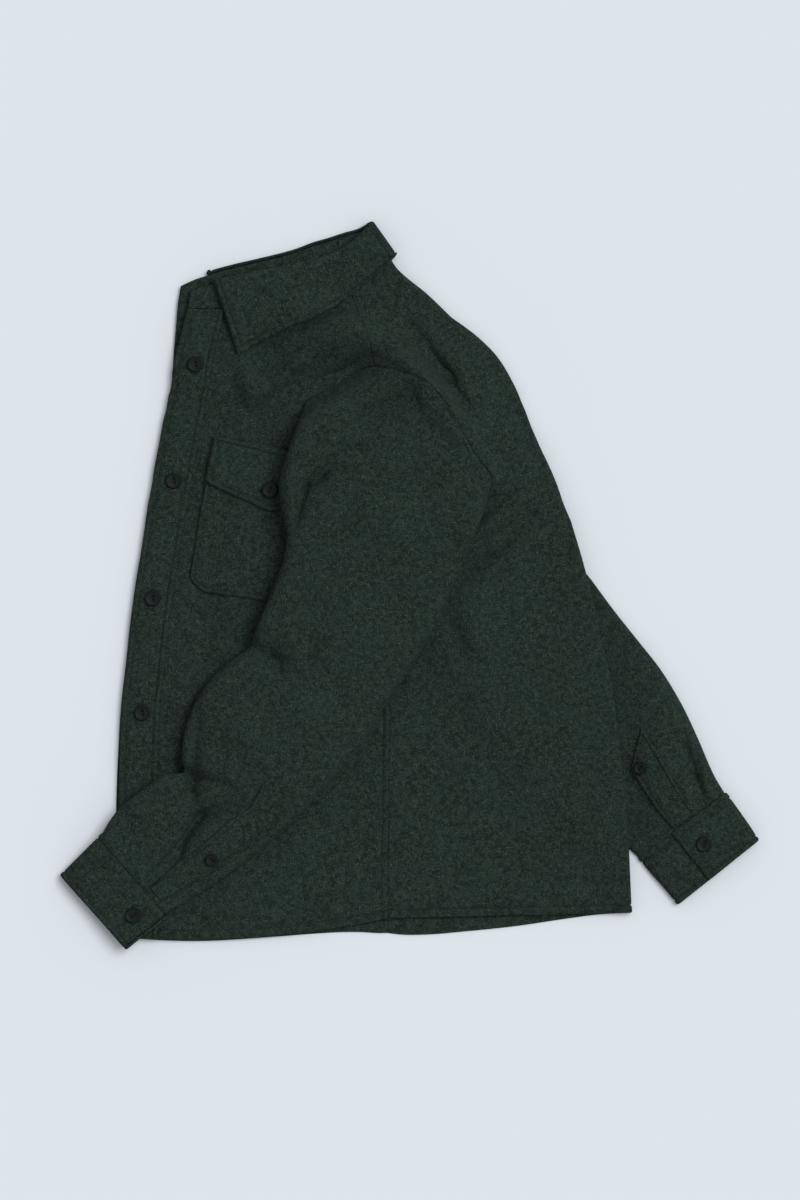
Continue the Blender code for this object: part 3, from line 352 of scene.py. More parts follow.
# Ends of the sleeves: the ring point where the cuff starts and its way round, the placket's ring points at
# the cuff with its wider end's last one, and the placket's first rows and last row
SLEEVE_ENDS = {
    "left": (13, 1, (18.7, 20.7, 21.5), (15.55, 15.55, 22.97)),
    "right": (13, -1, (9.95, 11.7, 11.7), (7.7, 6.95, 9.85)),
}

# How far each button has turned on its thread, in radians
BUTTON_TURNS = {
    "front_button_1": -0.10, "front_button_2": -0.05, "front_button_3": 0.05, "front_button_4": -0.12,
    "front_button_5": 0.08, "pocket_button": 0.5, "left_cuff_button": 1.15, "right_cuff_button": 0.35,
    "left_placket_button": 2.2, "right_placket_button": 0.62,
}

# Floor and lens in millimetres, spread and turns of the lamps in degrees, and middle of the view in metres
FLOOR_REACH = 3000
FLOOR_HEIGHT = -0.2
LAMP_SPREAD = 34
LENS = 200.0
SENSOR = 36.0
VIEW_CENTRE = (-0.00998, -0.01444)


def table(columns, rows):
    """Give a table's columns by name."""
    return dict(zip(columns, np.array(rows, float).T))


def follow(knots, values, at, corners=(1.0, 2.0)):
    """Pass a smooth line through a table's values, with a corner at the named knots."""
    knots = np.asarray(knots, float)
    values = np.asarray(values, float)
    span = np.diff(knots)
    chord = np.diff(values) / span
    middle = (chord[:-1] * span[1:] + chord[1:] * span[:-1]) / (span[1:] + span[:-1])
    smooth = ~np.isin(knots[1:-1], corners)
    leave = chord.copy()
    reach = chord.copy()
    leave[1:] = np.where(smooth, middle, chord[1:])
    reach[:-1] = np.where(smooth, middle, chord[:-1])
    k = np.clip(np.searchsorted(knots, at, side="right") - 1, 0, len(span) - 1)
    t = (at - knots[k]) / span[k]
    rise = values[k + 1] - values[k]
    bend = (1 - t) * (leave[k] * span[k] - rise) + t * (rise - reach[k] * span[k])
    return values[k] + t * rise + t * (1 - t) * bend


def ease(t):
    """Go smoothly from 0 to 1."""
    t = np.clip(t, 0.0, 1.0)
    return t * t * (3 - 2 * t)


def unit(vectors):
    """Give vectors the length 1."""
    length = np.linalg.norm(vectors, axis=-1)[..., None]
    return vectors / np.maximum(length, 1e-9)


def near_path(x, y, path):
    """Find the nearest place on a line of points: its share of the way, and the distance with its side."""
    x, y = np.broadcast_arrays(np.asarray(x, float), np.asarray(y, float))
    best = np.full(x.shape, np.inf)
    place = np.zeros(x.shape)
    side = np.zeros(x.shape)
    for k in range(len(path) - 1):
        (ax, ay), (bx, by) = path[k][:2], path[k + 1][:2]
        dx, dy = bx - ax, by - ay
        if dx == 0 and dy == 0:
            continue
        t = np.clip(((x - ax) * dx + (y - ay) * dy) / (dx * dx + dy * dy), 0, 1)
        away = np.hypot(x - ax - t * dx, y - ay - t * dy)
        closer = away < best
        best = np.where(closer, away, best)
        place = np.where(closer, k + t, place)
        side = np.where(closer, dx * (y - ay) - dy * (x - ax), side)
    return place, np.where(side >= 0, best, -best)


def bell(distance, left, right=None):
    """Give the height of a soft fold across its width, which may differ on its two sides."""
    width = left if right is None else np.where(distance >= 0, left, right)
    return np.exp(-np.square(distance / width))


def folds_at(x, y, folds):
    """Add up the soft ridges and troughs of a fold table."""
    total = np.zeros(np.shape(x))
    for x0, y0, x1, y1, start, middle, end, left, right in folds:
        t, away = near_path(x, y, ((x0, y0), (x1, y1)))
        height = start * (1 - t) * (1 - 2 * t) + 4 * middle * t * (1 - t) + end * t * (2 * t - 1)
        total = total + height * bell(away, left, right)
    return total


def inside(x, y, outline):
    """Give the distance to a closed outline, positive inside it."""
    closed = list(outline) + [outline[0]]
    away = np.abs(near_path(x, y, closed)[1])
    odd = np.zeros(np.shape(x), bool)
    for (ax, ay), (bx, by) in zip(closed[:-1], closed[1:]):
        if ay != by:
            odd ^= ((ay > y) != (by > y)) & (x < ax + (bx - ax) * (y - ay) / (by - ay))
    return np.where(odd, away, -away)


BODY = table(BODY_COLUMNS, BODY_SECTIONS)
SAG = table(SAG_COLUMNS, SAG_SECTIONS)
RIDGE = table(RIDGE_COLUMNS, SHOULDER_RIDGE)
COLLAR = table(COLLAR_COLUMNS, COLLAR_STATIONS)
BACK_FOLD = tuple(zip(BODY["fold_x"], BODY["fold_y"]))
FRONT_EDGE = tuple(zip(BODY["edge_x"], BODY["edge_y"]))
BODY_OUTLINE = FRONT_EDGE + BACK_FOLD[::-1]
HOLE = BODY["level"][(BODY["level"] >= 1) & (BODY["level"] <= 2)]


def body_line(name, level):
    """Give one of the body's lengthwise lines at a level."""
    return np.stack([follow(BODY["level"], BODY[name + "_" + axis], level) for axis in "xy"], -1)


def sag_at(name, level):
    """Give a value of the sag table at a level."""
    return follow(SAG["level"], SAG[name], level)


def under_shift(level, share):
    """Say how far the right half lies off the left one, by the share of the way to the fold."""
    edge = np.stack([sag_at("under_edge_x", level), sag_at("under_edge_y", level)], -1)
    middle = np.stack([sag_at("under_mid_x", level), sag_at("under_mid_y", level)], -1)
    above = follow(SHIFT_WAY, SHIFT_ABOVE, share, ())
    below = follow(SHIFT_WAY, SHIFT_BELOW, share, ())
    part = np.where(np.asarray(level) < 1.5, above, below)[..., None]
    return edge * np.square(1 - np.asarray(share)[..., None]) + middle * part


def sleeve_outline(rows):
    """Give the ground that a sleeve covers."""
    return [(r[0], r[1]) for r in rows] + [(r[2], r[3]) for r in rows[::-1]]


def armhole_outline():
    """Give the ground of the armhole."""
    front = body_line("front", HOLE)
    back = body_line("back", HOLE)
    return [tuple(p) for p in front] + [tuple(p) for p in back[::-1]]


def leaf_outline():
    """Give the ground that the collar leaf of the right half covers."""
    roll = [(x - 4, y + 8) for x, y in zip(COLLAR["roll_x"], COLLAR["roll_y"])]
    edge = [(x - 4, y + 4) for x, y in zip(COLLAR["edge_x"], COLLAR["edge_y"])]
    return roll + edge[::-1]


UNDER_GROUND = (
    ([(-111, 199)] + sleeve_outline(RIGHT_SLEEVE + RIGHT_CUFF) + [(45, 192)], SLEEVE_LIFT),
    (armhole_outline(), CAP_LIFT),
    (leaf_outline(), LEAF_LIFT),
)


def lower_height(x, y):
    """Height of the right half's cloth over the surface, lifted where a piece lies under it."""
    lift = np.zeros(np.shape(x))
    for outline, height in UNDER_GROUND:
        reach = ease((inside(x, y, outline) + LIFT_MARGIN + LIFT_RAMP) / LIFT_RAMP)
        lift = np.maximum(lift, height * reach)
    return WALL / 2 + lift


def unevenness(x, y):
    """Give the slight waves of a felted cloth, some tenths of a millimetre high."""
    wide = np.sin(x / 17 + 1.9 * np.sin(y / 23 + 0.4)) * np.cos(y / 19 + 1.4 * np.sin(x / 29 + 1.1))
    close = np.sin(x / 6.1 + 2.1 * np.sin(y / 7.7)) * np.cos(y / 6.7 + 1.7 * np.sin(x / 8.3 + 0.7))
    return 0.42 * wide + 0.11 * close


def swell(x, y):
    """Give the room between the two halves: the shoulder ridge, the folds and the roll at the back fold."""
    t, away = near_path(x, y, SHOULDER_RIDGE)
    crest = np.interp(t, np.arange(len(SHOULDER_RIDGE)), RIDGE["height"])
    ridge = crest * bell(away, RIDGE_BACK_WIDTH, RIDGE_FRONT_WIDTH)
    roll = BACK_ROLL * bell(near_path(x, y, BACK_FOLD)[1], BACK_ROLL_WIDTH)
    room = SLACK + roll + ridge + folds_at(x, y, BODY_FOLDS + FINE_FOLDS) + unevenness(x, y)
    return 0.5 * (room + np.sqrt(room * room + 1.0))


def upper_height(x, y):
    """Height of the left half's cloth over the surface."""
    return lower_height(x, y) + WALL + LAYER_GAP + swell(x, y)


def under_height(x, y):
    """Height of the right half's cloth with its shallow creases."""
    return lower_height(x, y) + folds_at(x, y, UNDER_FOLDS) + 0.3 + 0.3 * unevenness(x, y)


def steepness(height, x, y):
    """Say how much a sloping cloth needs more room upwards than a level one."""
    step = 1.0
    along = (height(x + step, y) - height(x - step, y)) / (2 * step)
    across = (height(x, y + step) - height(x, y - step)) / (2 * step)
    return np.sqrt(1 + along * along + across * across)


def edge_lines(stitch, first=2.2):
    """List the distances from an edge at which a sewn cloth needs a line of points."""
    marks = [0.0, first, *(stitch + offset for offset in STITCH_LINES)]
    return [m for m in marks if m == 0 or m >= first]


def spread(length, step, start=(0.0,), end=(0.0,)):
    """List distances along a cloth, closer at the named distances from its start and from its end."""
    start = np.sort(np.asarray(start, float))
    end = length - np.sort(np.asarray(end, float))[::-1]
    count = max(2, int(round((end[0] - start[-1]) / step)))
    middle = np.linspace(start[-1], end[0], count + 1)[1:-1]
    return np.concatenate([start, middle, end])


def nearest(values, wanted):
    """Give the place in a list of the value nearest to the wanted one."""
    return int(np.argmin(np.abs(np.asarray(values) - wanted)))


def body_levels():
    """List the levels of the body's rows, closer by the hem's stitches."""
    skirt = spread(SKIRT, 3.6 * COARSE, end=edge_lines(HEM_STITCH))
    neck = steps_of(NECK_ROWS)
    hole = 1 + steps_of(HOLE_ROWS)
    return np.concatenate([neck, hole, 2 + skirt / SKIRT])


def steps_of(count):
    count = int(count / COARSE)
    return np.arange(count) / count


def front_lengths(level):
    """Give the width of a front at a level, and how far the pocket reaches across it."""
    length = np.linalg.norm(body_line("front", level) - body_line("edge", level), axis=-1)
    return length, np.minimum(POCKET_INSET + POCKET_WIDTH, POCKET_LIMIT * length)


def front_plan(level, column):
    """Place a point of a front on the ground, by its column from the front edge to the armhole or side."""
    edge = body_line("edge", level)
    far = body_line("front", level)
    length, pocket_end = front_lengths(level)
    stops = (0 * length, 0 * length + PLACKET_WIDTH, 0 * length + POCKET_INSET, pocket_end, length)
    distance = sum(
        np.where((column >= a) & ((column < b) | (b == LAST_COLUMN)), p + (q - p) * (column - a) / (b - a), 0)
        for a, b, p, q in zip(FRONT_COLUMNS[:-1], FRONT_COLUMNS[1:], stops[:-1], stops[1:])
    )
    share = distance / length
    plan = edge + share[..., None] * (far - edge)
    plan[..., 1] -= sag_at("front", level) * 4 * share * (1 - share)
    return plan


def front_grid(level):
    """List a front's columns at each level, closer by the side seam."""
    length, pocket_end = front_lengths(level)
    inset, pocket = FRONT_COLUMNS[2], FRONT_COLUMNS[3]
    room = (LAST_COLUMN - pocket) / (length - pocket_end)
    on_pocket = np.linspace(inset, pocket, int(POCKET_STEPS / COARSE) + 1)
    plain = np.concatenate([np.linspace(0, 2, 9), (2.25, 2.5, 2.75), on_pocket])
    marks = np.array(edge_lines(SIDE_STITCH)[::-1])
    last = LAST_COLUMN - marks[None, :] * room[:, None]
    middle = pocket + (last[:, :1] - pocket) * steps_of(SIDE_STEPS)[None, 1:]
    plain = np.broadcast_to(plain, (len(level), len(plain)))
    return np.concatenate([plain, middle, last], 1)


def joined(level):
    """Say where the front and the back are sewn together: over the shoulder and down the side."""
    return 1 - ease((level - 0.97) / 0.06) * (1 - ease((level - 1.97) / 0.06))


def back_plan(level, share):
    """Place a point of the back on the ground, by its share of the way to the middle of the fold's roll."""
    near = body_line("back", level)
    near = near + joined(level)[..., None] * (body_line("front", level) - near)
    fold = body_line("fold", level)
    way = (fold - near) / np.linalg.norm(fold - near, axis=-1)[..., None]
    rise = upper_height(fold[..., 0], fold[..., 1]) - lower_height(fold[..., 0], fold[..., 1])
    centre = fold - (rise / 2 + WALL / 2)[..., None] * way
    near = near - 0.3 * way
    plan = near + np.asarray(share)[..., None] * (centre - near)
    plan[..., 1] -= sag_at("back", level) * 4 * share * (1 - share)
    return plan, centre, way


def back_shares(level, step):
    """List the back's shares of the way to the fold's roll at each level."""
    marks = np.array((0.0, 2.2, 4.6, 7.4))
    near = body_line("back", level)
    fold = body_line("fold", level)
    width = np.linalg.norm(fold - near, axis=-1)
    first = marks[None, :] / width[:, None]
    count = int(round(250 / step))
    t = (np.arange(1, count)[None, :] / count) ** 1.15
    return np.concatenate([first, first[:, -1:] + (1 - first[:, -1:]) * t], 1)


def with_height(plan, height):
    """Add the height to points on the ground."""
    return np.concatenate([plan, height(plan[..., 0], plan[..., 1])[..., None]], -1)


def way_across(plan, level):
    """Give the share of the way from the front edge to the back fold."""
    edge = body_line("edge", level)[..., 0]
    fold = body_line("fold", level)[..., 0]
    return np.clip((plan[..., 0] - edge) / (fold - edge), 0, 1)


def lower_half(plan, level, height):
    """Place points of the right half, shifted on the ground as far as it lies off the left one."""
    return with_height(plan + under_shift(level, way_across(plan, level)), height)


def left_front_at(level, column):
    """Middle surface of the left front at levels and columns."""
    return with_height(front_plan(level, column), upper_height)


def left_front_cloth(level):
    """Middle surface of the left front, row by row."""
    column = front_grid(level)
    return left_front_at(np.broadcast_to(level[:, None], column.shape), column)


def right_front_cloth(level):
    """Middle surface of the right front, from its side to its front edge."""
    column = front_grid(level)[:, ::-1]
    rows = np.broadcast_to(level[:, None], column.shape)
    return lower_half(front_plan(rows, column), rows, under_height)


def back_cloth(level):
    """Middle surface of the back: its left half, the roll at the fold and its right half."""
    share = back_shares(level, BACK_STEP)
    rows = np.broadcast_to(level[:, None], share.shape)
    upper = with_height(back_plan(rows, share)[0], upper_height)
    share = back_shares(level, UNDER_STEP)[:, ::-1]
    rows = np.broadcast_to(level[:, None], share.shape)
    lower = lower_half(back_plan(rows, share)[0], rows, under_height)
    _, centre, way = back_plan(level, np.ones(len(level)))
    top = upper_height(centre[:, 0], centre[:, 1])
    floor = lower_height(centre[:, 0], centre[:, 1])
    radius = (top - floor) / 2
    roll = []
    for angle in roll_angles():
        height = (top + floor) / 2 + radius * math.sin(angle)
        reach = radius * math.cos(angle)
        roll.append(np.concatenate([centre + reach[:, None] * way, height[:, None]], -1))
    return np.concatenate([upper, np.stack(roll, 1), lower], 1)


def roll_angles():
    """List the angles of the points round the roll at the back fold, from its top to its bottom."""
    return math.pi / 2 - math.pi * np.arange(ROLL_STEPS + 1) / ROLL_STEPS


def normals(cloth, ring=False):
    """Give the normals of a surface of points."""
    if ring:
        across = np.roll(cloth, -1, 1) - np.roll(cloth, 1, 1)
    else:
        across = np.gradient(cloth, axis=1)
    return unit(np.cross(np.gradient(cloth, axis=0), across))


def sewn(distances, stitch, depth=0.95, puff=0.6):
    """Relief of a cloth whose edges are turned in and sewn: a groove at the stitches and a fuller rim."""
    near = np.minimum.reduce(np.broadcast_arrays(*distances))
    groove = 1.35 * depth * bell(near - stitch, STITCH_GROOVE)
    rim = puff * np.sin(np.pi * np.clip(near / stitch, 0, 1)) ** 0.7
    return rim - groove


def shell(cloth, normal, ring=False, out=0.0, relief=0.0):
    """Thicken a surface of points into a closed cloth with rounded rims, and give its vertices and faces."""
    rows, columns = cloth.shape[:2]
    radius = WALL / 2
    aside = np.zeros_like(cloth)
    aside[0] += unit(cloth[0] - cloth[1])
    aside[-1] += unit(cloth[-1] - cloth[-2])
    if not ring:
        aside[:, 0] += unit(cloth[:, 0] - cloth[:, 1])
        aside[:, -1] += unit(cloth[:, -1] - cloth[:, -2])
    edge = np.linalg.norm(aside, axis=-1) > 0.5
    aside = unit(aside) * edge[..., None]
    relief = np.broadcast_to(relief, (rows, columns)) * ~edge
    centre = cloth + normal * out - aside * radius
    outer = centre + normal * (radius + relief)[..., None]
    inner = centre - normal * radius
    index = np.arange(rows * columns).reshape(rows, columns)
    under = index + rows * columns
    c = np.arange(columns if ring else columns - 1)
    n = (c + 1) % columns
    r = np.arange(rows - 1)[:, None]
    corners = ([index[r, c], index[r + 1, c], index[r + 1, n], index[r, n]],
               [under[r, c], under[r, n], under[r + 1, n], under[r + 1, c]])
    faces = [np.stack(four, -1).reshape(-1, 4) for four in corners]
    if ring:
        loops = [index[0][::-1], index[-1]]
    else:
        loops = [np.concatenate([index[0, ::-1], index[1:, 0], index[-1, 1:], index[-2:0:-1, -1]])]
    vertices = [outer.reshape(-1, 3), inner.reshape(-1, 3)]
    base = 2 * rows * columns
    flat_centre, flat_aside, flat_normal = (a.reshape(-1, 3) for a in (centre, aside, normal))
    for loop in loops:
        tiers = [loop]
        for angle in (0.9, 0.0, -0.9):
            turn = flat_aside[loop] * math.cos(angle) + flat_normal[loop] * math.sin(angle)
            vertices.append(flat_centre[loop] + radius * turn)
            tiers.append(base + np.arange(len(loop)))
            base += len(loop)
        tiers.append(loop + rows * columns)
        for above, below in zip(tiers[:-1], tiers[1:]):
            faces.append(np.stack([above, below, np.roll(below, -1), np.roll(above, -1)], -1))
    faces = np.concatenate(faces)
    if np.sum(normals(cloth, ring) * normal) < 0:
        faces = faces[:, ::-1]
    return np.concatenate(vertices), faces.tolist(), outer


def make_mesh(name, vertices, faces, finish, lowest=0.0):
    """Make one named mesh, from points in millimetres, with nothing below the surface that it lies on."""
    above = np.maximum(np.asarray(vertices), (-np.inf, -np.inf, lowest))
    mesh = bpy.data.meshes.new(name)
    mesh.from_pydata(((above - MIDDLE) * MM).tolist(), [], faces)
    mesh.validate()
    mesh.shade_smooth()
    mesh.materials.append(finish)
    piece = bpy.data.objects.new(name, mesh)
    bpy.context.collection.objects.link(piece)
    return piece


def capsule(sides=5):
    """Give a unit stitch along X: its points, and its faces."""
    stations = ((-0.5, 0.3), (-0.34, 1.0), (0.34, 1.0), (0.5, 0.3))
    angle = 2 * np.pi * np.arange(sides) / sides
    points = [(x, r * math.cos(a), r * math.sin(a)) for x, r in stations for a in angle]
    index = np.arange(len(points)).reshape(len(stations), sides)
    after = np.roll(index, -1, 1)
    faces = np.stack([index[:-1], after[:-1], after[1:], index[1:]], -1).reshape(-1, 4)
    return np.array(points), faces


def stitch_mesh(lines, length, thickness):
    """Lay stitches end to end along lines of points with their normals."""
    unit_points, unit_faces = capsule()
    vertices, faces = [], []
    count = 0
    for points, out in lines:
        steps = np.linalg.norm(np.diff(points, axis=0), axis=1)
        along = np.concatenate([[0], np.cumsum(steps)])
        number = int(along[-1] // length)
        if number < 1:
            continue
        place = (np.arange(number) + 0.5) * along[-1] / number
        centre, behind, before = (
            read_line(points, along, place + length * part) for part in (0, -0.3, 0.3))
        up = unit(read_line(out, along, place))
        ahead = unit(before - behind)
        side = unit(np.cross(up, ahead))
        up = np.cross(ahead, side)
        centre = centre + up * thickness * 0.1
        for c, a, s, u in zip(centre, ahead, side, up):
            local = unit_points * (length * 0.8, thickness / 2, thickness / 2)
            vertices.append(c + local[:, :1] * a + local[:, 1:2] * s + local[:, 2:] * u)
            faces.append(unit_faces + count)
            count += len(unit_points)
    return np.concatenate(vertices), np.concatenate(faces).tolist()


def read_line(values, along, place):
    """Read a line of points or normals at distances along it."""
    return np.stack([np.interp(place, along, values[:, k]) for k in range(3)], -1)


def attach(piece):
    """Fix a piece to the garment's one body."""
    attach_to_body(piece, "root")


def settings():
    """Give the sizes and colours that a user may change."""
    return bpy.context.scene.shacket_cloth


def make_cloth(name, cloth, normal, lines=(), held="laid", rests_on=(), **how):
    """Make one cloth of the shacket with its stitches, in place of its solid."""
    vertices, faces, outer = shell(cloth, normal, **how)
    piece = make_mesh("wool_" + name, vertices, faces, wool(name))
    attach(piece)
    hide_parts(name)
    paths = [(outer[rows, columns], normal[rows, columns]) for rows, columns in lines]
    if paths:
        vertices, faces = stitch_mesh(paths, settings().stitch_length / MM, settings().stitch_width / MM)
        thread = make_mesh("stitches_" + name, vertices, faces, thread_finish())
        attach(thread)


def on_cloth(points, row, column):
    """Read a place between the points of a surface."""
    row = np.asarray(row, float)
    column = np.asarray(column, float)
    r = np.clip(np.floor(row).astype(int), 0, points.shape[0] - 2)
    c = np.clip(np.floor(column).astype(int), 0, points.shape[1] - 2)
    t = (row - r)[..., None]
    u = (column - c)[..., None]
    near = points[r, c] * (1 - u) + points[r, c + 1] * u
    far = points[r + 1, c] * (1 - u) + points[r + 1, c + 1] * u
    return near * (1 - t) + far * t


def collar_at(name, share):
    """Give a collar line at a share of the way from the front edge to the back fold."""
    seam = COLLAR["seam_x"]
    along = (seam - seam[0]) / (seam[-1] - seam[0])
    return np.stack([follow(along, COLLAR[name + "_" + axis], share, ()) for axis in "xy"], -1)


def neck_share(plan):
    """Give the share of the way round the neck of a point on the neck seam."""
    start = COLLAR["seam_x"][0]
    return np.clip((plan[:, 0] - start) / (COLLAR["seam_x"][-1] - start), 0, 1)


def collar_lines(side, share):
    """Give the roll line of the collar and the way from it to the leaf's edge, on the ground."""
    roll = collar_at("roll", share)
    way = unit(collar_at("edge", share) - roll)
    shift = under_shift(0 * share, share) * (side == "right")[:, None]
    return roll + shift, way


def on_half(plan, out, side):
    """Place collar points at a distance from the cloth of the half that they belong to."""
    x, y = plan[:, 0], plan[:, 1]
    upper = upper_height(x, y) + out * steepness(upper_height, x, y)
    lower = lower_height(x, y) - out * steepness(lower_height, x, y)
    return np.column_stack([plan, np.where(side == "right", lower, upper)])


def on_roll(plan, angle, out):
    """Place collar points round the roll at the back fold, the outermost one over the plan point."""
    high = upper_height(plan[:, 0], plan[:, 1])
    low = lower_height(plan[:, 0], plan[:, 1])
    radius = (high - low) / 2
    reach = (radius + out) * np.cos(angle) - radius - WALL / 2 - COLLAR_LAP
    height = (high + low) / 2 + (radius + out) * np.sin(angle)
    return np.column_stack([plan + reach[:, None] * np.array(FOLD_WAY), height])


def collar_stand_cloth(neck, kinds):
    """Middle surface of the collar stand, which carries on from the body's neck row up to the roll line."""
    side, share, angle = kinds
    roll, way = collar_lines(side, share)
    top = roll + way * (COLLAR_LAP / 2 + WALL / 2 + COLLAR_SEAM)
    turned = side == "roll"
    top_points = on_half(top, 0 * share, side)
    top_points[turned] = on_roll(top[turned], angle[turned], 0 * share[turned])
    rows = []
    for q in np.linspace(1, 0, 7):
        points = neck + (top_points - neck) * q
        flat = on_half(points[:, :2], 0 * share, side)
        keep = turned | (q == 0)
        rows.append(np.where(keep[:, None], points, flat))
    return np.array(rows)


def over_placket(plan):
    """Say how much higher the collar leaf lies where it crosses the front placket."""
    away = np.abs(near_path(plan[:, 0], plan[:, 1], FRONT_EDGE)[1])
    return SKIN * (1 - ease((away - PLACKET_WIDTH - 8) / 24))


def collar_leaf_cloth(side, share, angle, falls):
    """Middle surface of the collar leaf, from the stand's top over the roll line to the leaf's edge."""
    roll, way = collar_lines(side, share)
    bend = COLLAR_LAP / 2
    centre = roll + way * (bend + WALL / 2)
    fall = collar_at("edge", share) + roll - collar_at("roll", share) - centre
    turned = side == "roll"
    rows = []
    for k in range(BEND_ROWS):
        turn = -math.pi / 2 + math.pi * k / BEND_ROWS
        rows.append((centre - way * bend * math.cos(turn), bend + bend * math.sin(turn) + 0 * share))
    for q in falls:
        rows.append((centre + fall * q, COLLAR_LAP + 0 * share))
    cloth = []
    for plan, out in rows:
        raised = out + over_placket(plan) * out / COLLAR_LAP * (side == "left")
        points = on_half(plan, raised, side)
        points[turned] = on_roll(plan[turned], angle[turned], out[turned])
        cloth.append(points)
    return np.array(cloth)


def support(x, y):
    """Height of what the left sleeve lies on: the body with its trim, falling away past the front edge."""
    top = upper_height(x, y) + WALL / 2 * steepness(upper_height, x, y)
    from_edge = np.abs(near_path(x, y, FRONT_EDGE)[1])
    trim = TRIM_LIFT * (1 - ease((from_edge - 55) / 25)) * ease((-150 - y) / 40)
    flap = front_plan(np.array([1.66, 1.66, 2.2, 2.2]), np.array([3.0, 7.0, 7.0, 3.0]))
    pocket = TRIM_LIFT * ease((inside(x, y, [tuple(p) for p in flap]) + 48) / 26)
    over = ease((inside(x, y, BODY_OUTLINE) + 62) / 52)
    return (top + np.maximum(trim, pocket)) * over


def ring_points():
    """List the places round a sleeve at which it has points."""
    return np.arange(RING * RING_PARTS) / RING_PARTS


def ring_shares():
    """Give each ring point's share of the way across a sleeve, and whether it is on the cap's side."""
    cap_steps = (RING_FRONT - RING_BACK) % RING
    i = ring_points()
    back = (RING_FRONT - i) % RING
    cap = back <= cap_steps
    body = (i - RING_FRONT) / (RING - cap_steps)
    angle = np.where(cap, back / cap_steps, body)
    return 0.5 - 0.5 * np.cos(np.pi * angle), cap


def section_plan(sections, share, cap):
    """Place the points of the sleeve's sections on the ground."""
    front = sections[:, None, 0:2]
    back = sections[:, None, 2:4]
    way = back - front
    square = unit(np.stack([-way[..., 1], way[..., 0]], -1))
    arch = np.sin(np.pi * np.clip(share, 0, 1)) ** BULGE_POWER
    bulge = np.where(cap, sections[:, 4:5], -sections[:, 5:6]) * arch
    return front + share[:, None] * way + bulge[..., None] * square


def round_end(share, width, radius):
    """Give the height share of a flattened tube's folded edge, a half circle of its radius."""
    away = np.minimum(np.minimum(share, 1 - share) * width / radius, 1)
    return np.sqrt(1 - np.square(1 - away))


def dome(share, power):
    """Give the height share of a tube's crown across its width."""
    return np.maximum(0, 1 - np.abs(2 * share - 1) ** power) ** (1 / power)


def sections_at(rows, at):
    """Read a sleeve table between its rows."""
    knots = np.arange(len(rows))
    values = np.array(rows, float)
    return np.stack([follow(knots, values[:, k], at, ()) for k in range(values.shape[1])], -1)


def left_rings(sections, creased=True):
    """Rings of the left sleeve: its lower face lies on the body and its upper face is crowned."""
    share, cap = ring_shares()
    plan = section_plan(sections, share, cap)
    crown, edge = sections[:, 6:7], sections[:, 7:8]
    x, y = plan[..., 0], plan[..., 1]
    rest = support(x, y) + WALL / 2 + LAYER_GAP + SLEEVE_EASE
    front, back = rest[:, RING_FRONT * RING_PARTS], rest[:, RING_BACK * RING_PARTS]
    ends = front[:, None] + (back - front)[:, None] * share + edge
    width = np.linalg.norm(sections[:, 2:4] - sections[:, 0:2], axis=1)[:, None]
    round_share = round_end(share, width, edge)
    rise = np.maximum(crown - ends - edge, 0)
    top = ends + edge * round_share + rise * dome(share, CROWN_POWER)
    if creased:
        top = top + sleeve_creases(x, y) * dome(share, FLAT_POWER)
    bottom = rest + edge * (1 - round_share)
    height = np.where(cap, np.maximum(top, rest + SLEEVE_ROOM * round_share), bottom)
    return np.concatenate([plan, height[..., None]], -1)


def sleeve_creases(x, y):
    """Give the folds and the slight waves of the left sleeve's upper face."""
    return folds_at(x, y, LEFT_SLEEVE_FOLDS) + 0.9 * unevenness(1.1 * x + 40, 0.9 * y - 70)


def right_rings(sections):
    """Rings of the right sleeve: it lies on the surface, flatter where the body covers it."""
    share, cap = ring_shares()
    plan = section_plan(sections, share, cap)
    x, y = plan[..., 0], plan[..., 1]
    crown = sections[:, 6:7]
    outside = ease((-inside(x, y, BODY_OUTLINE) - 4) / 45)
    edge = HIDDEN_EDGE + (sections[:, 7:8] - HIDDEN_EDGE) * outside
    width = np.linalg.norm(sections[:, 2:4] - sections[:, 0:2], axis=1)[:, None]
    round_share = round_end(share, width, edge)
    rise = np.maximum(crown - 2 * edge - WALL / 2, 0) * outside
    crease = folds_at(x, y, RIGHT_SLEEVE_FOLDS) + 0.7 * unevenness(x + 30, y)
    bottom = WALL / 2 + edge * (1 - round_share)
    crown_height = rise * dome(share, CROWN_POWER) + crease * outside * dome(share, FLAT_POWER)
    top = WALL / 2 + edge * (1 + round_share) + crown_height
    height = np.where(cap, bottom, np.maximum(top, bottom + 1.6 * round_share))
    return np.concatenate([plan, height[..., None]], -1)


def armhole_ring(front_at, back_at):
    """List the armhole's edge points round from the shoulder by the front to the underarm and back."""
    i = ring_points()
    half = RING / 2
    level = 1 + np.where(i <= half, i, RING - i) / half
    return np.where((i <= half)[:, None], front_at(level), back_at(level))


def sleeve_lap():
    """Say for each ring point how far the sleeve laps on the body instead of butting against it."""
    i = ring_points()
    return np.where(i <= RING / 2, ease((i - 1.0) / 4), ease((21.0 - i) / 5))


def between(start, first, after, at):
    """Carry a surface on smoothly from its first ring back to its start."""
    leave = first - start
    reach = (after - first) / FIRST_STEP
    t = at[:, None, None]
    return start + t * leave + t * (1 - t) * t * (leave - reach)


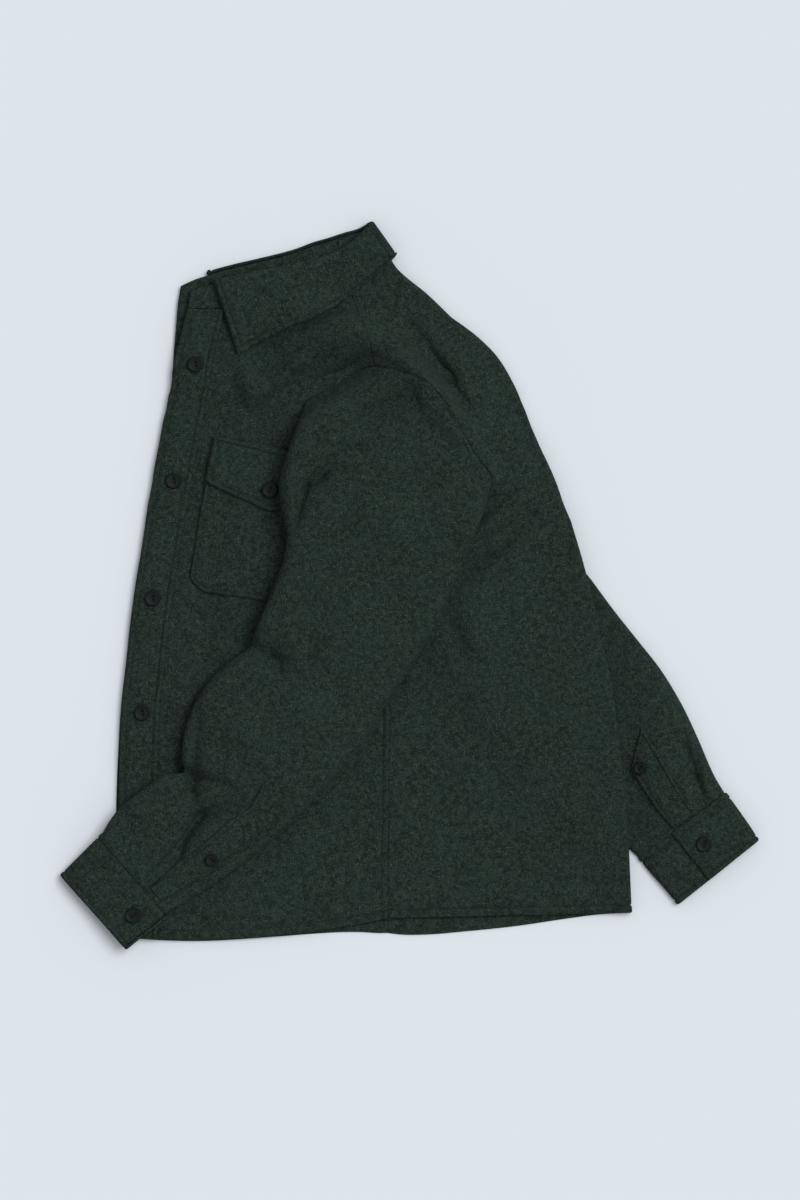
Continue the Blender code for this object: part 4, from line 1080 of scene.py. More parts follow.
def left_sleeve_cloth(at):
    """Middle surface of the left sleeve: butted to the armhole at the shoulder, lapped on the body below."""
    edge = armhole_ring(lambda level: left_front_at(level, LAST_COLUMN + 0 * level),
                        lambda level: with_height(back_plan(level, 0 * level)[0], upper_height))
    head = left_rings(sections_at(LEFT_SLEEVE, np.array([0.0, FIRST_STEP])), creased=False)
    over = support(edge[:, 0], edge[:, 1]) + WALL / 2 + LAYER_GAP
    start = edge.copy()
    start[:, 2] += sleeve_lap() * (over - edge[:, 2])
    lead = at[at < 1]
    cap = between(start, head[0], head[1], lead)
    x, y = cap[..., 0], cap[..., 1]
    share, on_cap = ring_shares()
    cap[..., 2] += sleeve_creases(x, y) * dome(share, FLAT_POWER) * on_cap * ease(lead * 2.5)[:, None]
    body = left_rings(sections_at(LEFT_SLEEVE, at[at >= 1] - 1))
    return np.concatenate([cap, body])


def right_sleeve_cloth(at):
    """Middle surface of the right sleeve, whose top end lies under the edge of the armhole."""
    edge = armhole_ring(
        lambda level: lower_half(front_plan(level, LAST_COLUMN + 0 * level), level, lower_height),
        lambda level: lower_half(back_plan(level, 0 * level)[0], level, lower_height))
    cap = ring_shares()[1]
    i = ring_points()
    i = np.where(i < RING_FRONT, i + RING, i)
    place = np.interp(i, HIDDEN_RING, HIDDEN_HOLE) % RING
    start = read_line(np.concatenate([edge, edge[:1]]), np.arange(len(edge) + 1) / RING_PARTS, place)
    start[:, 2] = np.where(cap, WALL / 2, WALL / 2 + 2 * HIDDEN_EDGE)
    start[[RING_FRONT * RING_PARTS, RING_BACK * RING_PARTS], 2] = WALL / 2 + HIDDEN_EDGE
    first = right_rings(sections_at(RIGHT_SLEEVE, np.array([0.0])))[0]
    t = (at[at < HIDDEN_STEPS] / HIDDEN_STEPS)[:, None, None]
    head = start + (first - start) * t
    body = right_rings(sections_at(RIGHT_SLEEVE, at[at >= HIDDEN_STEPS] - HIDDEN_STEPS))
    return np.concatenate([head, body])


def cuff_cloth(rings, normal, first, way):
    """Middle surface of a cuff: a band round the wrist whose end laps over its start."""
    turns = RING * (1 + CUFF_OVERLAP)
    k = spread(turns, 1 / RING_PARTS, start=(0.0, 0.2), end=(0.0, 0.18, 0.36, 0.5, 0.6, 0.7, 0.84))
    place = (first + way * k) % RING * RING_PARTS
    lap = CUFF_LAP * ease((k - RING * (1 - CUFF_OVERLAP) + 1) / (RING * CUFF_OVERLAP))
    row, column = np.meshgrid(np.arange(len(rings)), place, indexing="ij")
    out = on_cloth(unit(closed(normal)), row, column)
    return on_cloth(closed(rings), row, column) + out * lap[None, :, None]


def closed(rings):
    """Repeat the first point of each ring at its end."""
    return np.concatenate([rings, rings[:, :1]], 1)


def cumulative(points, axis):
    """Give each point's distance from the first one along a surface's rows or columns."""
    steps = np.linalg.norm(np.diff(points, axis=axis), axis=-1)
    pad = [(0, 0), (0, 0)]
    pad[axis] = (1, 0)
    return np.pad(np.cumsum(steps, axis=axis), pad)


# Materials


class Term:
    """A value of a material, with its arithmetic written as plain expressions."""

    def __init__(self, finish, socket):
        self.finish = finish
        self.socket = socket

    def _math(self, operation, first, second):
        return self.finish.add("ShaderNodeMath", {"operation": operation}, {0: first, 1: second})

    def __add__(self, other):
        return self._math("ADD", self, other)

    __radd__ = __add__

    def __mul__(self, other):
        return self._math("MULTIPLY", self, other)

    __rmul__ = __mul__


class Finish:
    """A material that is put together from nodes."""

    def __init__(self, name, specular):
        self.material = bpy.data.materials.new(name)
        self.material.use_nodes = True
        self.tree = self.material.node_tree
        self.shader = self.tree.nodes["Principled BSDF"]
        self.surface(Specular_IOR_Level=specular)

    def add(self, kind, choices=None, sockets=None, output=0):
        """Add a node: its settings first, then the values or links of its sockets."""
        node = self.tree.nodes.new(kind)
        for name, value in (choices or {}).items():
            setattr(node, name, value)
        for name, value in (sockets or {}).items():
            self.put(node.inputs[name], value)
        return Term(self, node.outputs[output])

    def put(self, socket, value):
        """Set a socket, or link a value to it."""
        if isinstance(value, Term):
            self.tree.links.new(value.socket, socket)
        else:
            socket.default_value = value

    def place(self):
        """Give the place on the object, in metres."""
        return self.add("ShaderNodeTexCoord", output=3)

    def mix(self, factor, first, second):
        """Mix two colours."""
        first, second = (c if isinstance(c, Term) else (*c, 1) for c in (first, second))
        return self.add("ShaderNodeMix", {"data_type": "RGBA"}, {0: factor, 6: first, 7: second}, output=2)

    def noise(self, place, scale, detail=2.0, roughness=0.5, distortion=0.0):
        """Give a soft pattern from 0 to 1."""
        return self.add("ShaderNodeTexNoise", sockets={
            "Vector": place, "Scale": scale, "Detail": detail, "Roughness": roughness,
            "Distortion": distortion})

    def between(self, value, low, high):
        """Spread the values from low to high over 0 to 1."""
        return self.add("ShaderNodeMapRange", {"interpolation_type": "SMOOTHSTEP"},
                        {"Value": value, "From Min": low, "From Max": high})

    def turned(self, place, angle, stretch):
        """Turn and stretch the place, for fibres that lie one way."""
        return self.add("ShaderNodeMapping", {"vector_type": "POINT"}, {
            "Vector": place, "Rotation": (0.3 * angle, 0.2 * angle, angle), "Scale": stretch})

    def bump(self, height, strength, distance):
        """Raise the surface by a pattern, over a distance in metres."""
        return self.add("ShaderNodeBump", sockets={
            "Strength": strength, "Distance": distance, "Height": height})

    def surface(self, **values):
        """Set what the shader takes."""
        for name, value in values.items():
            self.put(self.shader.inputs[name.replace("_", " ")], value)


def wool(name):
    """Make the felted wool: dark and mid green fibres, with pale ones that lie every way."""
    sizes = settings()
    finish = Finish("wool_" + name, specular=0.03)
    place = finish.place()
    fine = finish.noise(place, 720, 3.0, 0.62)
    mottle = finish.noise(place, 190, 2.0, 0.6)
    patch = finish.noise(place, 26, 2.0, 0.5)
    strands = finish.noise(finish.turned(place, 0.5, (1.0, 0.28, 1.0)), 900, 1.0, 0.5)
    crossed = finish.noise(finish.turned(place, 2.3, (0.26, 1.0, 1.0)), 860, 1.0, 0.5)
    pale = finish.between(strands, 0.60, 0.72) + finish.between(crossed, 0.61, 0.73)
    dark = finish.between(mottle * 0.55 + fine * 0.45, 0.40, 0.60)
    colour = finish.mix(dark, sizes.shade, sizes.ground)
    colour = finish.mix(finish.between(patch, 0.35, 0.68) * 0.30, colour, sizes.cool)
    colour = finish.mix(finish.between(fine, 0.52, 0.74) * 0.42, colour, sizes.fibre)
    colour = finish.mix(pale * 0.44, colour, sizes.fibre)
    bump = finish.bump(fine * 0.6 + mottle * 0.8 + pale * 0.25, 0.8, 0.0007)
    finish.surface(Base_Color=colour, Roughness=0.86 + fine * 0.12, Normal=bump)
    finish.surface(Sheen_Weight=sizes.nap, Sheen_Roughness=0.55, Sheen_Tint=(0.62, 0.74, 0.68, 1))
    return finish.material


def thread_finish():
    """Make the sewing thread, dyed to the cloth and a little shinier."""
    known = bpy.data.materials.get("sewing_thread")
    if known:
        return known
    finish = Finish("sewing_thread", specular=0.08)
    twist = finish.noise(finish.place(), 1900, 1.0)
    colour = finish.mix(twist, (0.006, 0.010, 0.009), (0.018, 0.028, 0.024))
    finish.surface(Base_Color=colour, Roughness=0.7 + twist * 0.1, Normal=finish.bump(twist, 0.5, 0.0002))
    return finish.material


def button_finish():
    """Make the dark, dull-polished button."""
    known = bpy.data.materials.get("button_resin")
    if known:
        return known
    finish = Finish("button_resin", specular=0.16)
    place = finish.place()
    cloud = finish.noise(place, 150, 3.0, 0.6, 0.8)
    grain = finish.noise(place, 1500, 2.0)
    colour = finish.mix(cloud, (0.0028, 0.0050, 0.0054), (0.0075, 0.0112, 0.0118))
    finish.surface(Base_Color=colour, Roughness=0.42 + cloud * 0.16, Normal=finish.bump(grain, 0.25, 0.0001))
    return finish.material


# Pieces


def make_body():
    """Make the two fronts and the back."""
    level = body_levels()
    column = front_grid(level)
    length, pocket_end = front_lengths(level)
    from_hem = (3 - level)[:, None] * SKIRT
    from_side = (LAST_COLUMN - column) * ((length - pocket_end) / 3)[:, None]
    on_skirt = ease((level - 1.97) / 0.06)[:, None]
    side = np.where(from_side < 20, from_side, FAR) + (1 - on_skirt) * FAR
    hem_relief = sewn([from_hem], HEM_STITCH, 0.8, 0.7)
    relief = hem_relief + sewn([side], SIDE_STITCH, 0.75, 0.35)
    hem = nearest(from_hem[:, 0], HEM_STITCH)
    waist = nearest(level, 2.0)
    width = column.shape[1]
    seam = width - 1 - nearest(edge_lines(SIDE_STITCH), SIDE_STITCH)
    lines = [(hem, np.arange(width)), (np.arange(waist, hem + 1), seam)]
    front = left_front_cloth(level)
    make_cloth("left_front", front, normals(front), lines, relief=relief, rests_on=["right_front"])
    lines = [(rows, width - 1 - columns) for rows, columns in lines]
    right = right_front_cloth(level)
    make_cloth("right_front", right, normals(right), lines, relief=relief[:, ::-1], rests_on=["ground"])
    back = back_cloth(level)
    lines = [(hem, np.arange(back.shape[1]))]
    make_cloth("back", back, normals(back), lines, relief=hem_relief, held="folded", rests_on=["ground"])


def patch_grid(length, width, step, top, stitch):
    """List the rows and columns of a patch, in millimetres from its top and from its front side."""
    rows = spread(length, step, edge_lines(top) if top else (0.0, 2.2), edge_lines(stitch))
    columns = spread(width, step, edge_lines(stitch), edge_lines(stitch))
    return rows, columns


def frame_lines(rows, columns, length, width, stitch, top=True):
    """List the stitch lines round a patch: its sides and bottom, and its top where that is sewn too."""
    first, last = nearest(columns, stitch), nearest(columns, width - stitch)
    low = nearest(rows, length - stitch)
    high = nearest(rows, stitch) if top else 0
    down = np.arange(high, low + 1)
    across = np.arange(first, last + 1)
    return [(down, first), (down, last), (low, across)] + [(high, across)] * top


def make_front_placket():
    """Make the front placket."""
    level = body_levels()
    columns = spread(PLACKET_WIDTH, 5, edge_lines(PLACKET_STITCH), edge_lines(PLACKET_STITCH))
    row, column = np.meshgrid(level, columns / PLACKET_WIDTH * 2, indexing="ij")
    cloth = left_front_at(row, column)
    across = column / 2 * PLACKET_WIDTH
    pucker = 0.16 * np.sin(level * SKIRT / 5.2 + 1.5 * np.sin(level * 31))[:, None]
    relief = sewn([across, PLACKET_WIDTH - across], PLACKET_STITCH, 0.85, 1.0)
    relief = relief + pucker * bell(np.minimum(across, PLACKET_WIDTH - across) - 5, 4)
    relief = relief + sewn([(3 - row) * SKIRT], HEM_STITCH, 0.7, 0.5)
    marks = [nearest(columns, PLACKET_STITCH), nearest(columns, PLACKET_WIDTH - PLACKET_STITCH)]
    lines = [(np.arange(len(level)), mark) for mark in marks]
    make_cloth("front_placket", cloth, normals(cloth), lines, out=SKIN, relief=relief,
               rests_on=["left_front"])


def make_chest_pocket():
    """Make the chest pocket, whose lower corners are rounded."""
    first, last = POCKET_LEVELS
    length = (last - first) * SKIRT * 0.86
    rows, columns = patch_grid(length, POCKET_WIDTH, 4.2 * COARSE, 0, POCKET_STITCH)
    from_side = np.minimum(columns, POCKET_WIDTH - columns)
    drop = CORNER_DROP * (1 - np.clip(from_side / CORNER_WIDTH, 0, 1)) ** 1.6
    row = first + (rows[:, None] / length) * (last - first) * (1 - drop / length)
    column = np.broadcast_to(POCKET_COLUMN + columns / POCKET_WIDTH * POCKET_COLUMNS, row.shape)
    cloth = left_front_at(row, column)
    relief = sewn([from_side[None, :], (length - rows)[:, None]], POCKET_STITCH, 0.8, 0.7)
    relief = relief + 0.5 * np.sin(np.pi * rows / length)[:, None] * np.sin(np.pi * columns / POCKET_WIDTH)
    lines = frame_lines(rows, columns, length, POCKET_WIDTH, POCKET_STITCH, top=False)
    make_cloth("chest_pocket", cloth, normals(cloth), lines, out=SKIN, relief=relief, rests_on=["left_front"])


def make_pocket_flap():
    """Make the pocket's flap, whose lower edge comes to a point."""
    start, corner, point = FLAP_LEVELS
    rows, columns = patch_grid(FLAP_LENGTH, POCKET_WIDTH, 4.0 * COARSE, FLAP_STITCH, FLAP_STITCH)
    column = POCKET_COLUMN + columns / POCKET_WIDTH * POCKET_COLUMNS
    from_side = np.minimum(columns, POCKET_WIDTH - columns)
    reach = np.interp(column, [POCKET_COLUMN, FLAP_POINT, POCKET_COLUMN + POCKET_COLUMNS], [0, 1, 0])
    low = corner + (point - corner) * reach - 0.012 * (1 - np.clip(from_side / 9, 0, 1)) ** 2
    row = start + (low[None, :] - start) * (rows / FLAP_LENGTH)[:, None]
    cloth = left_front_at(row, np.broadcast_to(column, row.shape))
    distances = [from_side[None, :], rows[:, None], (FLAP_LENGTH - rows)[:, None]]
    relief = sewn(distances, FLAP_STITCH, 0.8, 1.2)
    lines = frame_lines(rows, columns, FLAP_LENGTH, POCKET_WIDTH, FLAP_STITCH)
    out = 2 * SKIN + 1.0
    make_cloth("pocket_flap", cloth, normals(cloth), lines, out=out, relief=relief, rests_on=["chest_pocket"])


def make_collar_stand():
    """Make the collar stand."""
    level = np.zeros(1)
    column = front_grid(level)
    front = neck_share(front_plan(level[:, None] + 0 * column, column)[0])
    shares = back_shares(level, BACK_STEP)
    near = neck_share(back_plan(level[:, None] + 0 * shares, shares)[0][0])
    shares = back_shares(level, UNDER_STEP)[:, ::-1]
    far = neck_share(back_plan(level[:, None] + 0 * shares, shares)[0][0])
    half, other = np.concatenate([front, near]), np.concatenate([far, front[::-1]])
    rows = np.array([0.0, 0.01])
    neck = np.concatenate([left_front_cloth(rows)[0], back_cloth(rows)[0], right_front_cloth(rows)[0]])
    stand = collar_stand_cloth(neck, collar_round(half, other))
    make_cloth("collar_stand", stand, normals(stand), held="folded", rests_on=["back"])


def collar_round(half, other):
    """List a collar's points round the neck: the side, the share of the way and the angle round the roll."""
    turn = roll_angles()
    side = np.array(["left"] * len(half) + ["roll"] * len(turn) + ["right"] * len(other))
    share = np.concatenate([half, np.ones(len(turn)), other])
    angle = np.concatenate([0 * half, turn, 0 * other])
    return side, share, angle


def make_collar_leaf():
    """Make the collar leaf."""
    marks = spread(NECK_LENGTH * (1 - LEAF_START), 4.0 * COARSE, edge_lines(COLLAR_STITCH), (2.0,))
    half = LEAF_START + marks / NECK_LENGTH
    falls = spread(LEAF_DEPTH, 4.0 * COARSE, (0.0,), edge_lines(COLLAR_STITCH)) / LEAF_DEPTH
    leaf = collar_leaf_cloth(*collar_round(half, half[::-1]), falls)
    from_end = np.concatenate([marks, np.full(ROLL_STEPS + 1, FAR), marks[::-1]])
    from_edge = np.concatenate([np.full(BEND_ROWS, FAR), (1 - falls) * LEAF_DEPTH])
    relief = sewn([from_end[None, :], from_edge[:, None]], COLLAR_STITCH, 0.8, 1.5)
    low = nearest(from_edge, COLLAR_STITCH)
    first = nearest(marks, COLLAR_STITCH)
    last = leaf.shape[1] - 1 - first
    down = np.arange(BEND_ROWS, low + 1)
    lines = [(down, first), (down, last), (low, np.arange(first, last + 1))]
    make_cloth("collar_leaf", leaf, normals(leaf), lines, relief=relief, held="folded",
               rests_on=["left_front"])


def make_sleeve(side):
    """Make a sleeve with its cuff and its placket."""
    left = side == "left"
    sections, parts, lead = (LEFT_SLEEVE, 6, 1) if left else (RIGHT_SLEEVE, 10, HIDDEN_STEPS)
    parts = int(parts / COARSE)
    head_rows = int(12 / COARSE)
    head = np.union1d(np.arange(head_rows * lead) / head_rows, SEAM_ROWS)
    at = np.concatenate([head, lead + np.arange((len(sections) - 1) * parts + 1) / parts])
    sleeve = (left_sleeve_cloth if left else right_sleeve_cloth)(at)
    out = normals(sleeve, ring=True) * (-1 if left else 1)
    from_seam = cumulative(sleeve, 0)
    rim = SEAM_RIM * bell(from_seam - 4.5, 2.6)
    groove = SEAM_GROOVE * bell(from_seam, 1.9)
    make_cloth(side + "_sleeve", sleeve, out, ring=True, held="folded", relief=rim - groove,
               rests_on=["left_front" if left else "ground"])
    make_cuff(side)
    make_sleeve_placket(side, closed(sleeve), closed(out), at)


def make_cuff(side):
    """Make a cuff, whose buttoned end laps over its start."""
    left = side == "left"
    first, way = SLEEVE_ENDS[side][:2]
    marks = spread(CUFF_LENGTH, 4.2 * COARSE, edge_lines(CUFF_STITCH), edge_lines(CUFF_STITCH))
    rings_of, rows = (left_rings, LEFT_CUFF) if left else (right_rings, RIGHT_CUFF)
    rings = rings_of(sections_at(rows, marks / CUFF_LENGTH * 3))
    rings_out = normals(rings, ring=True) * (-1 if left else 1)
    cloth = cuff_cloth(rings, rings_out, first, way)
    cloth[0] += 2.0 * unit(cloth[0] - cloth[1])
    out = normals(cloth)
    if np.sum(out[:, 1] * rings_out[:, (first + way) * RING_PARTS % (RING * RING_PARTS)]) < 0:
        out = -out
    per_turn = cumulative(cloth, 1)
    from_end = per_turn[:, -1:] - per_turn
    relief = sewn([marks[:, None], CUFF_LENGTH - marks[:, None], from_end], CUFF_STITCH, 0.8, 0.6)
    last = nearest(from_end[len(marks) // 2], CUFF_STITCH)
    high, low = nearest(marks, CUFF_STITCH), nearest(marks, CUFF_LENGTH - CUFF_STITCH)
    across = np.arange(1, last + 1)
    lines = [(high, across), (low, across), (np.arange(high, low + 1), last)]
    make_cloth(side + "_cuff", cloth, out, lines, out=0.9, relief=relief, held="folded",
               rests_on=[side + "_sleeve"])


def make_sleeve_placket(side, sleeve, sleeve_out, at):
    """Make the strip over a sleeve's slit, sewn round and across below its upper end."""
    (low_ring, high_ring, wide_ring), (start, other_start, end) = SLEEVE_ENDS[side][2:]

    def on_sleeve(points, row, ring):
        return on_cloth(points, np.interp(row, at, np.arange(len(at))), np.asarray(ring) * RING_PARTS)

    middle = (start + other_start) / 2
    ends = on_sleeve(sleeve, [middle, end], [(low_ring + high_ring) / 2] * 2)
    length = np.linalg.norm(ends[1] - ends[0])
    sides = on_sleeve(sleeve, [(middle + end) / 2] * 2, [low_ring, (high_ring + wide_ring) / 2])
    width = np.linalg.norm(sides[1] - sides[0])
    rows = spread(length, 4.2 * COARSE, edge_lines(STRIP_STITCH), (0.0, 2.2))
    rows = np.unique(np.concatenate([rows, width + np.array(STITCH_LINES)]))
    columns = spread(width, 3.6 * COARSE, edge_lines(STRIP_STITCH, 1.9), edge_lines(STRIP_STITCH, 1.9))
    share = columns / width
    top = start + (other_start - start) * share
    row = top[None, :] + (end - top[None, :]) * rows[:, None] / length
    last_ring = high_ring + (wide_ring - high_ring) * (1 - rows[:, None] / length)
    ring = low_ring + (last_ring - low_ring) * share
    cloth = on_sleeve(sleeve, row, ring)
    away = unit(on_sleeve(sleeve_out, row, ring))
    from_side = np.minimum(columns, width - columns)[None, :]
    across_line = 0.7 * bell(rows[:, None] - width, 0.95) * (from_side > STRIP_STITCH)
    relief = sewn([from_side, rows[:, None]], STRIP_STITCH, 0.75, 0.8) - across_line
    first, last = nearest(columns, STRIP_STITCH), nearest(columns, width - STRIP_STITCH)
    high, low = nearest(rows, STRIP_STITCH), nearest(rows, width)
    down = np.arange(high, len(rows) - 1)
    across = np.arange(first, last + 1)
    lines = [(down, first), (down, last), (high, across), (low, across)]
    make_cloth(side + "_sleeve_placket", cloth, away, lines, out=WALL + STRIP_GAP - 0.6, relief=relief,
               rests_on=[side + "_sleeve"])


def button_pose(node):
    """Find a button's base, way out, thickness and radius from its solid."""
    low, high = (np.array(corner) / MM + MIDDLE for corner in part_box(node))
    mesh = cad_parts[node].data
    points = np.empty(len(mesh.vertices) * 3)
    mesh.vertices.foreach_get("co", points)
    points = points.reshape(-1, 3) / MM + MIDDLE
    centre = (low + high) / 2
    axis = np.linalg.svd(points - points.mean(0), full_matrices=False)[2][2]
    normal = axis * (1 if axis[2] > 0 else -1)
    across = (points - centre) @ normal
    radius = np.linalg.norm((points - centre) - np.outer(across, normal), axis=1).max()
    return centre + normal * across.min(), normal, across.max() - across.min(), radius


def button_heights(x, y):
    """Give a button's face height: a rounded rim, a dished middle, an eye-shaped hollow and two holes."""
    r = np.hypot(x, y)
    rim = 0.26 * bell(r - 0.84, 0.10)
    dish = 0.80 - 0.06 * (1 - r)
    eye = np.square(x / 0.24) + np.square(y / 0.56)
    hollow = 0.30 * (1 - ease((eye - 0.55) / 0.7))
    holes = sum(ease((0.13 - np.hypot(x, y - s * 0.20)) / 0.05) for s in (-1, 1))
    edge = np.sqrt(np.maximum(0, 1 - np.square(np.clip((r - 0.90) / 0.10, 0, 1)))) - 1
    return dish + rim - hollow - 0.75 * holes + 0.42 * edge


def make_button(node, turn):
    """Make a button with two holes and its thread, in the place of its solid."""
    base, normal, depth, radius = button_pose(node)
    side = unit(np.cross(normal, (math.sin(turn), math.cos(turn), 0)))
    up = np.cross(side, normal)
    angle = 2 * np.pi * np.arange(BUTTON_SIDES) / BUTTON_SIDES
    rim = np.cos(angle)[:, None] * side + np.sin(angle)[:, None] * up
    reach = np.linspace(0, 1, BUTTON_RINGS + 1)[1:, None]
    height = button_heights(reach * np.cos(angle), reach * np.sin(angle)) * depth
    face = base + radius * reach[..., None] * rim + height[..., None] * normal
    skirt = [base + radius * share * rim + normal * depth * level for share, level in BUTTON_EDGE]
    middle = base + normal * button_heights(0, 0) * depth
    vertices = np.concatenate([face.reshape(-1, 3)] + skirt + [[middle], [base]])
    rings = BUTTON_RINGS + len(BUTTON_EDGE)
    index = np.arange(rings * BUTTON_SIDES).reshape(rings, BUTTON_SIDES)
    after = np.roll(index, -1, 1)
    faces = np.stack([index[:-1], index[1:], after[1:], after[:-1]], -1).reshape(-1, 4).tolist()
    top = index.size
    faces += [(top, a, b) for a, b in zip(index[0].tolist(), after[0].tolist())]
    faces += [(top + 1, b, a) for a, b in zip(index[-1].tolist(), after[-1].tolist())]
    piece = make_mesh("resin_" + node, vertices, faces, button_finish())
    attach(piece)
    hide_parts(node)
    points = np.array([base + normal * depth * 0.45 + up * radius * s for s in (-0.22, 0.0, 0.22)])
    points[1] += normal * depth * 0.12
    vertices, faces = stitch_mesh([(points, np.array([normal] * 3))], radius * 0.42, 0.9)
    attach(make_mesh("thread_" + node, vertices, faces, thread_finish()))


def chosen_colour(name, description, default):
    """Describe a colour that a user may change."""
    return bpy.props.FloatVectorProperty(
        name=name, description=description, default=default, subtype="COLOR", size=3, min=0, max=1)


def chosen_length(name, description, default, low, high):
    """Describe a length in metres that a user may change."""
    return bpy.props.FloatProperty(
        name=name, description=description, default=default, min=low, max=high, subtype="DISTANCE",
        unit="LENGTH")


def chosen_strength(name, description, default, high):
    """Describe a strength that a user may change."""
    return bpy.props.FloatProperty(name=name, description=description, default=default, min=0, max=high)


class ClothSettings(bpy.types.PropertyGroup):
    """Colours of the wool and sizes of its sewing."""

    ground: chosen_colour("Cloth green", "Main colour of the wool", (0.0205, 0.0325, 0.0265))
    shade: chosen_colour("Dark fibre", "Colour of the wool's dark fibres", (0.0080, 0.0150, 0.0120))
    cool: chosen_colour("Cool fibre", "Colour of the wool's blue-green fibres", (0.0150, 0.0290, 0.0285))
    fibre: chosen_colour("Pale fibre", "Colour of the wool's pale fibres", (0.070, 0.092, 0.074))
    nap: chosen_strength("Nap", "Strength of the sheen of the raised fibres", 0.02, 1)
    stitch_length: chosen_length("Stitch length", "Length of one stitch with its gap", 0.0036, 0.002, 0.008)
    stitch_width: chosen_length("Stitch width", "Thickness of the sewing thread", 0.0007, 0.0003, 0.002)


class StageSettings(bpy.types.PropertyGroup):
    """Floor, light and camera."""

    floor: chosen_colour("Floor", "Colour of the floor", (0.73, 0.79, 0.84))
    light: chosen_strength("Sky light", "Strength of the light from all round", 0.48, 10)
    sun: chosen_strength("Lamp", "Strength of the wide lamp on the pieces", 2.05, 20)
    fill: chosen_strength("Floor lamp", "Strength of the wide lamp on the floor", 1.80, 20)
    width: chosen_length("View width", "Width of the ground that the camera sees", 0.880, 0.1, 5)


def make_stage():
    """Make the floor, the light and the camera."""
    sizes = bpy.context.scene.shacket_stage
    ends = ((-1, -1), (1, -1), (1, 1), (-1, 1))
    corners = [(x * FLOOR_REACH, y * FLOOR_REACH, FLOOR_HEIGHT) for x, y in ends]
    floor = make_mesh("floor", corners, [(0, 1, 2, 3)], floor_finish(sizes.floor), lowest=FLOOR_HEIGHT)
    make_lamp("wide_lamp", sizes.sun, (-17, 33), floor, "EXCLUDE")
    make_lamp("floor_lamp", sizes.fill, (-14, 22), floor, "INCLUDE")
    world = bpy.data.worlds.new("studio")
    world.use_nodes = True
    world.node_tree.nodes["Background"].inputs["Color"].default_value = (1, 1, 1, 1)
    world.node_tree.nodes["Background"].inputs["Strength"].default_value = sizes.light
    bpy.context.scene.world = world
    camera = bpy.data.cameras.new("camera")
    camera.lens = LENS
    camera.sensor_width = SENSOR
    camera.sensor_fit = "AUTO"
    distance = sizes.width * 1.5 * LENS / SENSOR
    camera.clip_end = 2 * distance
    eye = bpy.data.objects.new("camera", camera)
    eye.location = (*VIEW_CENTRE, distance)
    bpy.context.collection.objects.link(eye)
    bpy.context.scene.camera = eye
    bpy.context.scene.view_settings.view_transform = "Standard"


def make_lamp(name, energy, turn, floor, floor_state):
    """Make a wide lamp that lights either the pieces or the floor alone."""
    lamp = bpy.data.lights.new(name, "SUN")
    lamp.energy = energy
    lamp.angle = math.radians(LAMP_SPREAD)
    holder = bpy.data.objects.new(name, lamp)
    holder.rotation_euler = (math.radians(turn[0]), math.radians(turn[1]), 0)
    bpy.context.collection.objects.link(holder)
    receivers = bpy.data.collections.new(name + "_receivers")
    receivers.objects.link(floor)
    holder.light_linking.receiver_collection = receivers
    receivers.collection_objects[0].light_linking.link_state = floor_state


def floor_finish(tone):
    """Make the plain pale floor."""
    finish = Finish("plain_floor", specular=0.0)
    cloud = finish.noise(finish.place(), 3.0, 2.0)
    finish.surface(Base_Color=finish.mix(cloud * 0.02, tone, [c * 0.9 for c in tone]), Roughness=0.95)
    return finish.material


class SHACKET_OT_body(bpy.types.Operator):
    """Make the fronts and the back"""

    bl_idname = "shacket.body"
    bl_label = "Body"

    def execute(self, context):
        make_body()
        return {"FINISHED"}


class SHACKET_OT_trim(bpy.types.Operator):
    """Make the front placket, the chest pocket and its flap"""

    bl_idname = "shacket.trim"
    bl_label = "Placket and pocket"

    def execute(self, context):
        make_front_placket()
        make_chest_pocket()
        make_pocket_flap()
        return {"FINISHED"}


class SHACKET_OT_collar(bpy.types.Operator):
    """Make the collar's stand and leaf"""

    bl_idname = "shacket.collar"
    bl_label = "Collar"

    def execute(self, context):
        make_collar_stand()
        make_collar_leaf()
        return {"FINISHED"}


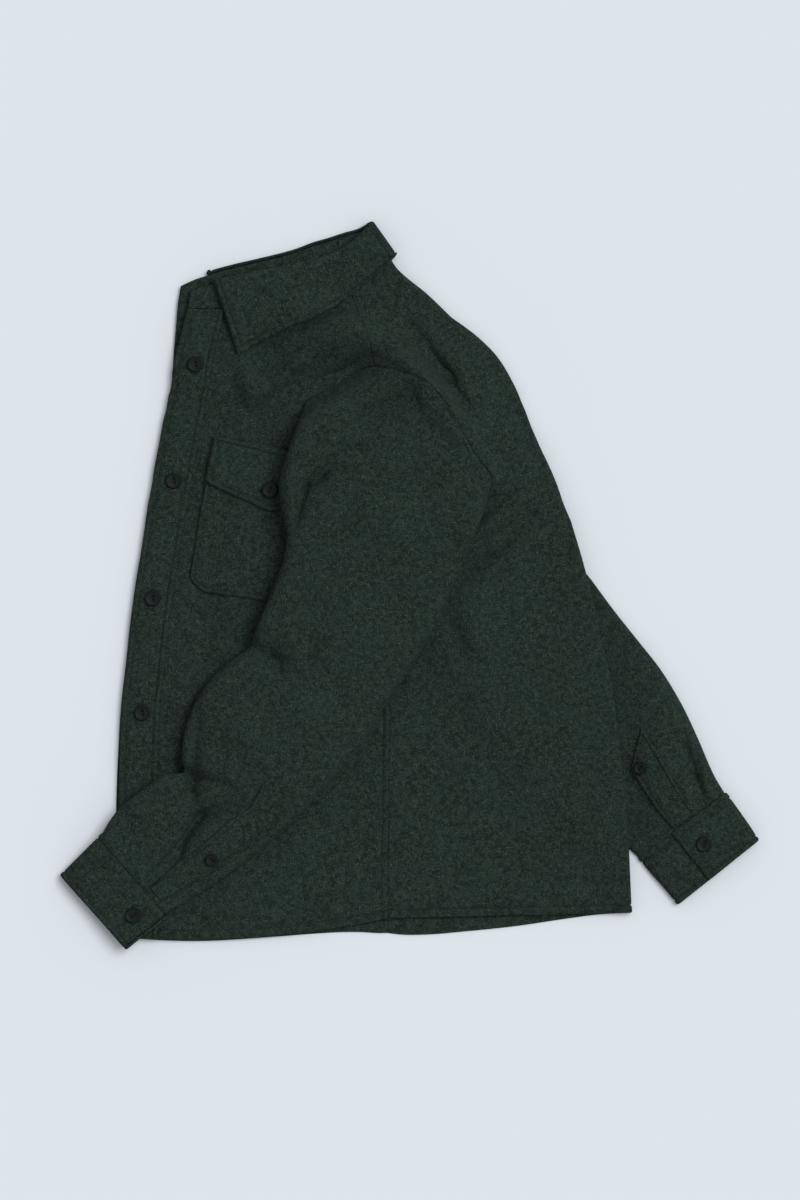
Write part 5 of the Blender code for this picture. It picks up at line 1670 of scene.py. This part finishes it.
class SHACKET_OT_sleeves(bpy.types.Operator):
    """Make the sleeves with their cuffs and plackets"""

    bl_idname = "shacket.sleeves"
    bl_label = "Sleeves"

    def execute(self, context):
        make_sleeve("left")
        make_sleeve("right")
        return {"FINISHED"}


class SHACKET_OT_buttons(bpy.types.Operator):
    """Make the buttons with their threads"""

    bl_idname = "shacket.buttons"
    bl_label = "Buttons"

    def execute(self, context):
        for node, turn in BUTTON_TURNS.items():
            make_button(node, turn)
        return {"FINISHED"}


class SHACKET_OT_stage(bpy.types.Operator):
    """Make the floor, the light and the camera"""

    bl_idname = "shacket.stage"
    bl_label = "Stage"

    def execute(self, context):
        make_stage()
        return {"FINISHED"}


class SHACKET_PT_panel(bpy.types.Panel):
    """The shacket's pieces and sizes"""

    bl_idname = "SHACKET_PT_panel"
    bl_label = "Shacket"
    bl_space_type = "VIEW_3D"
    bl_region_type = "UI"
    bl_category = "Shacket"

    def draw(self, context):
        for group in (context.scene.shacket_cloth, context.scene.shacket_stage):
            box = self.layout.box()
            for name in group.__annotations__:
                box.prop(group, name)
        for operator in OPERATORS:
            self.layout.operator(operator.bl_idname)


OPERATORS = (SHACKET_OT_body, SHACKET_OT_trim, SHACKET_OT_collar, SHACKET_OT_sleeves, SHACKET_OT_buttons,
             SHACKET_OT_stage)
CLASSES = (ClothSettings, StageSettings, *OPERATORS, SHACKET_PT_panel)


def register():
    """Add the classes and the settings."""
    for item in CLASSES:
        bpy.utils.register_class(item)
    bpy.types.Scene.shacket_cloth = bpy.props.PointerProperty(type=ClothSettings)
    bpy.types.Scene.shacket_stage = bpy.props.PointerProperty(type=StageSettings)


def unregister():
    """Take the classes and the settings away."""
    del bpy.types.Scene.shacket_cloth
    del bpy.types.Scene.shacket_stage
    for item in reversed(CLASSES):
        bpy.utils.unregister_class(item)


def main():
    """Make the whole shacket and its stage."""
    register()
    bpy.ops.shacket.stage()
    bpy.ops.shacket.body()
    bpy.ops.shacket.trim()
    bpy.ops.shacket.collar()
    bpy.ops.shacket.sleeves()
    bpy.ops.shacket.buttons()


if __name__ == "__main__":
    main()
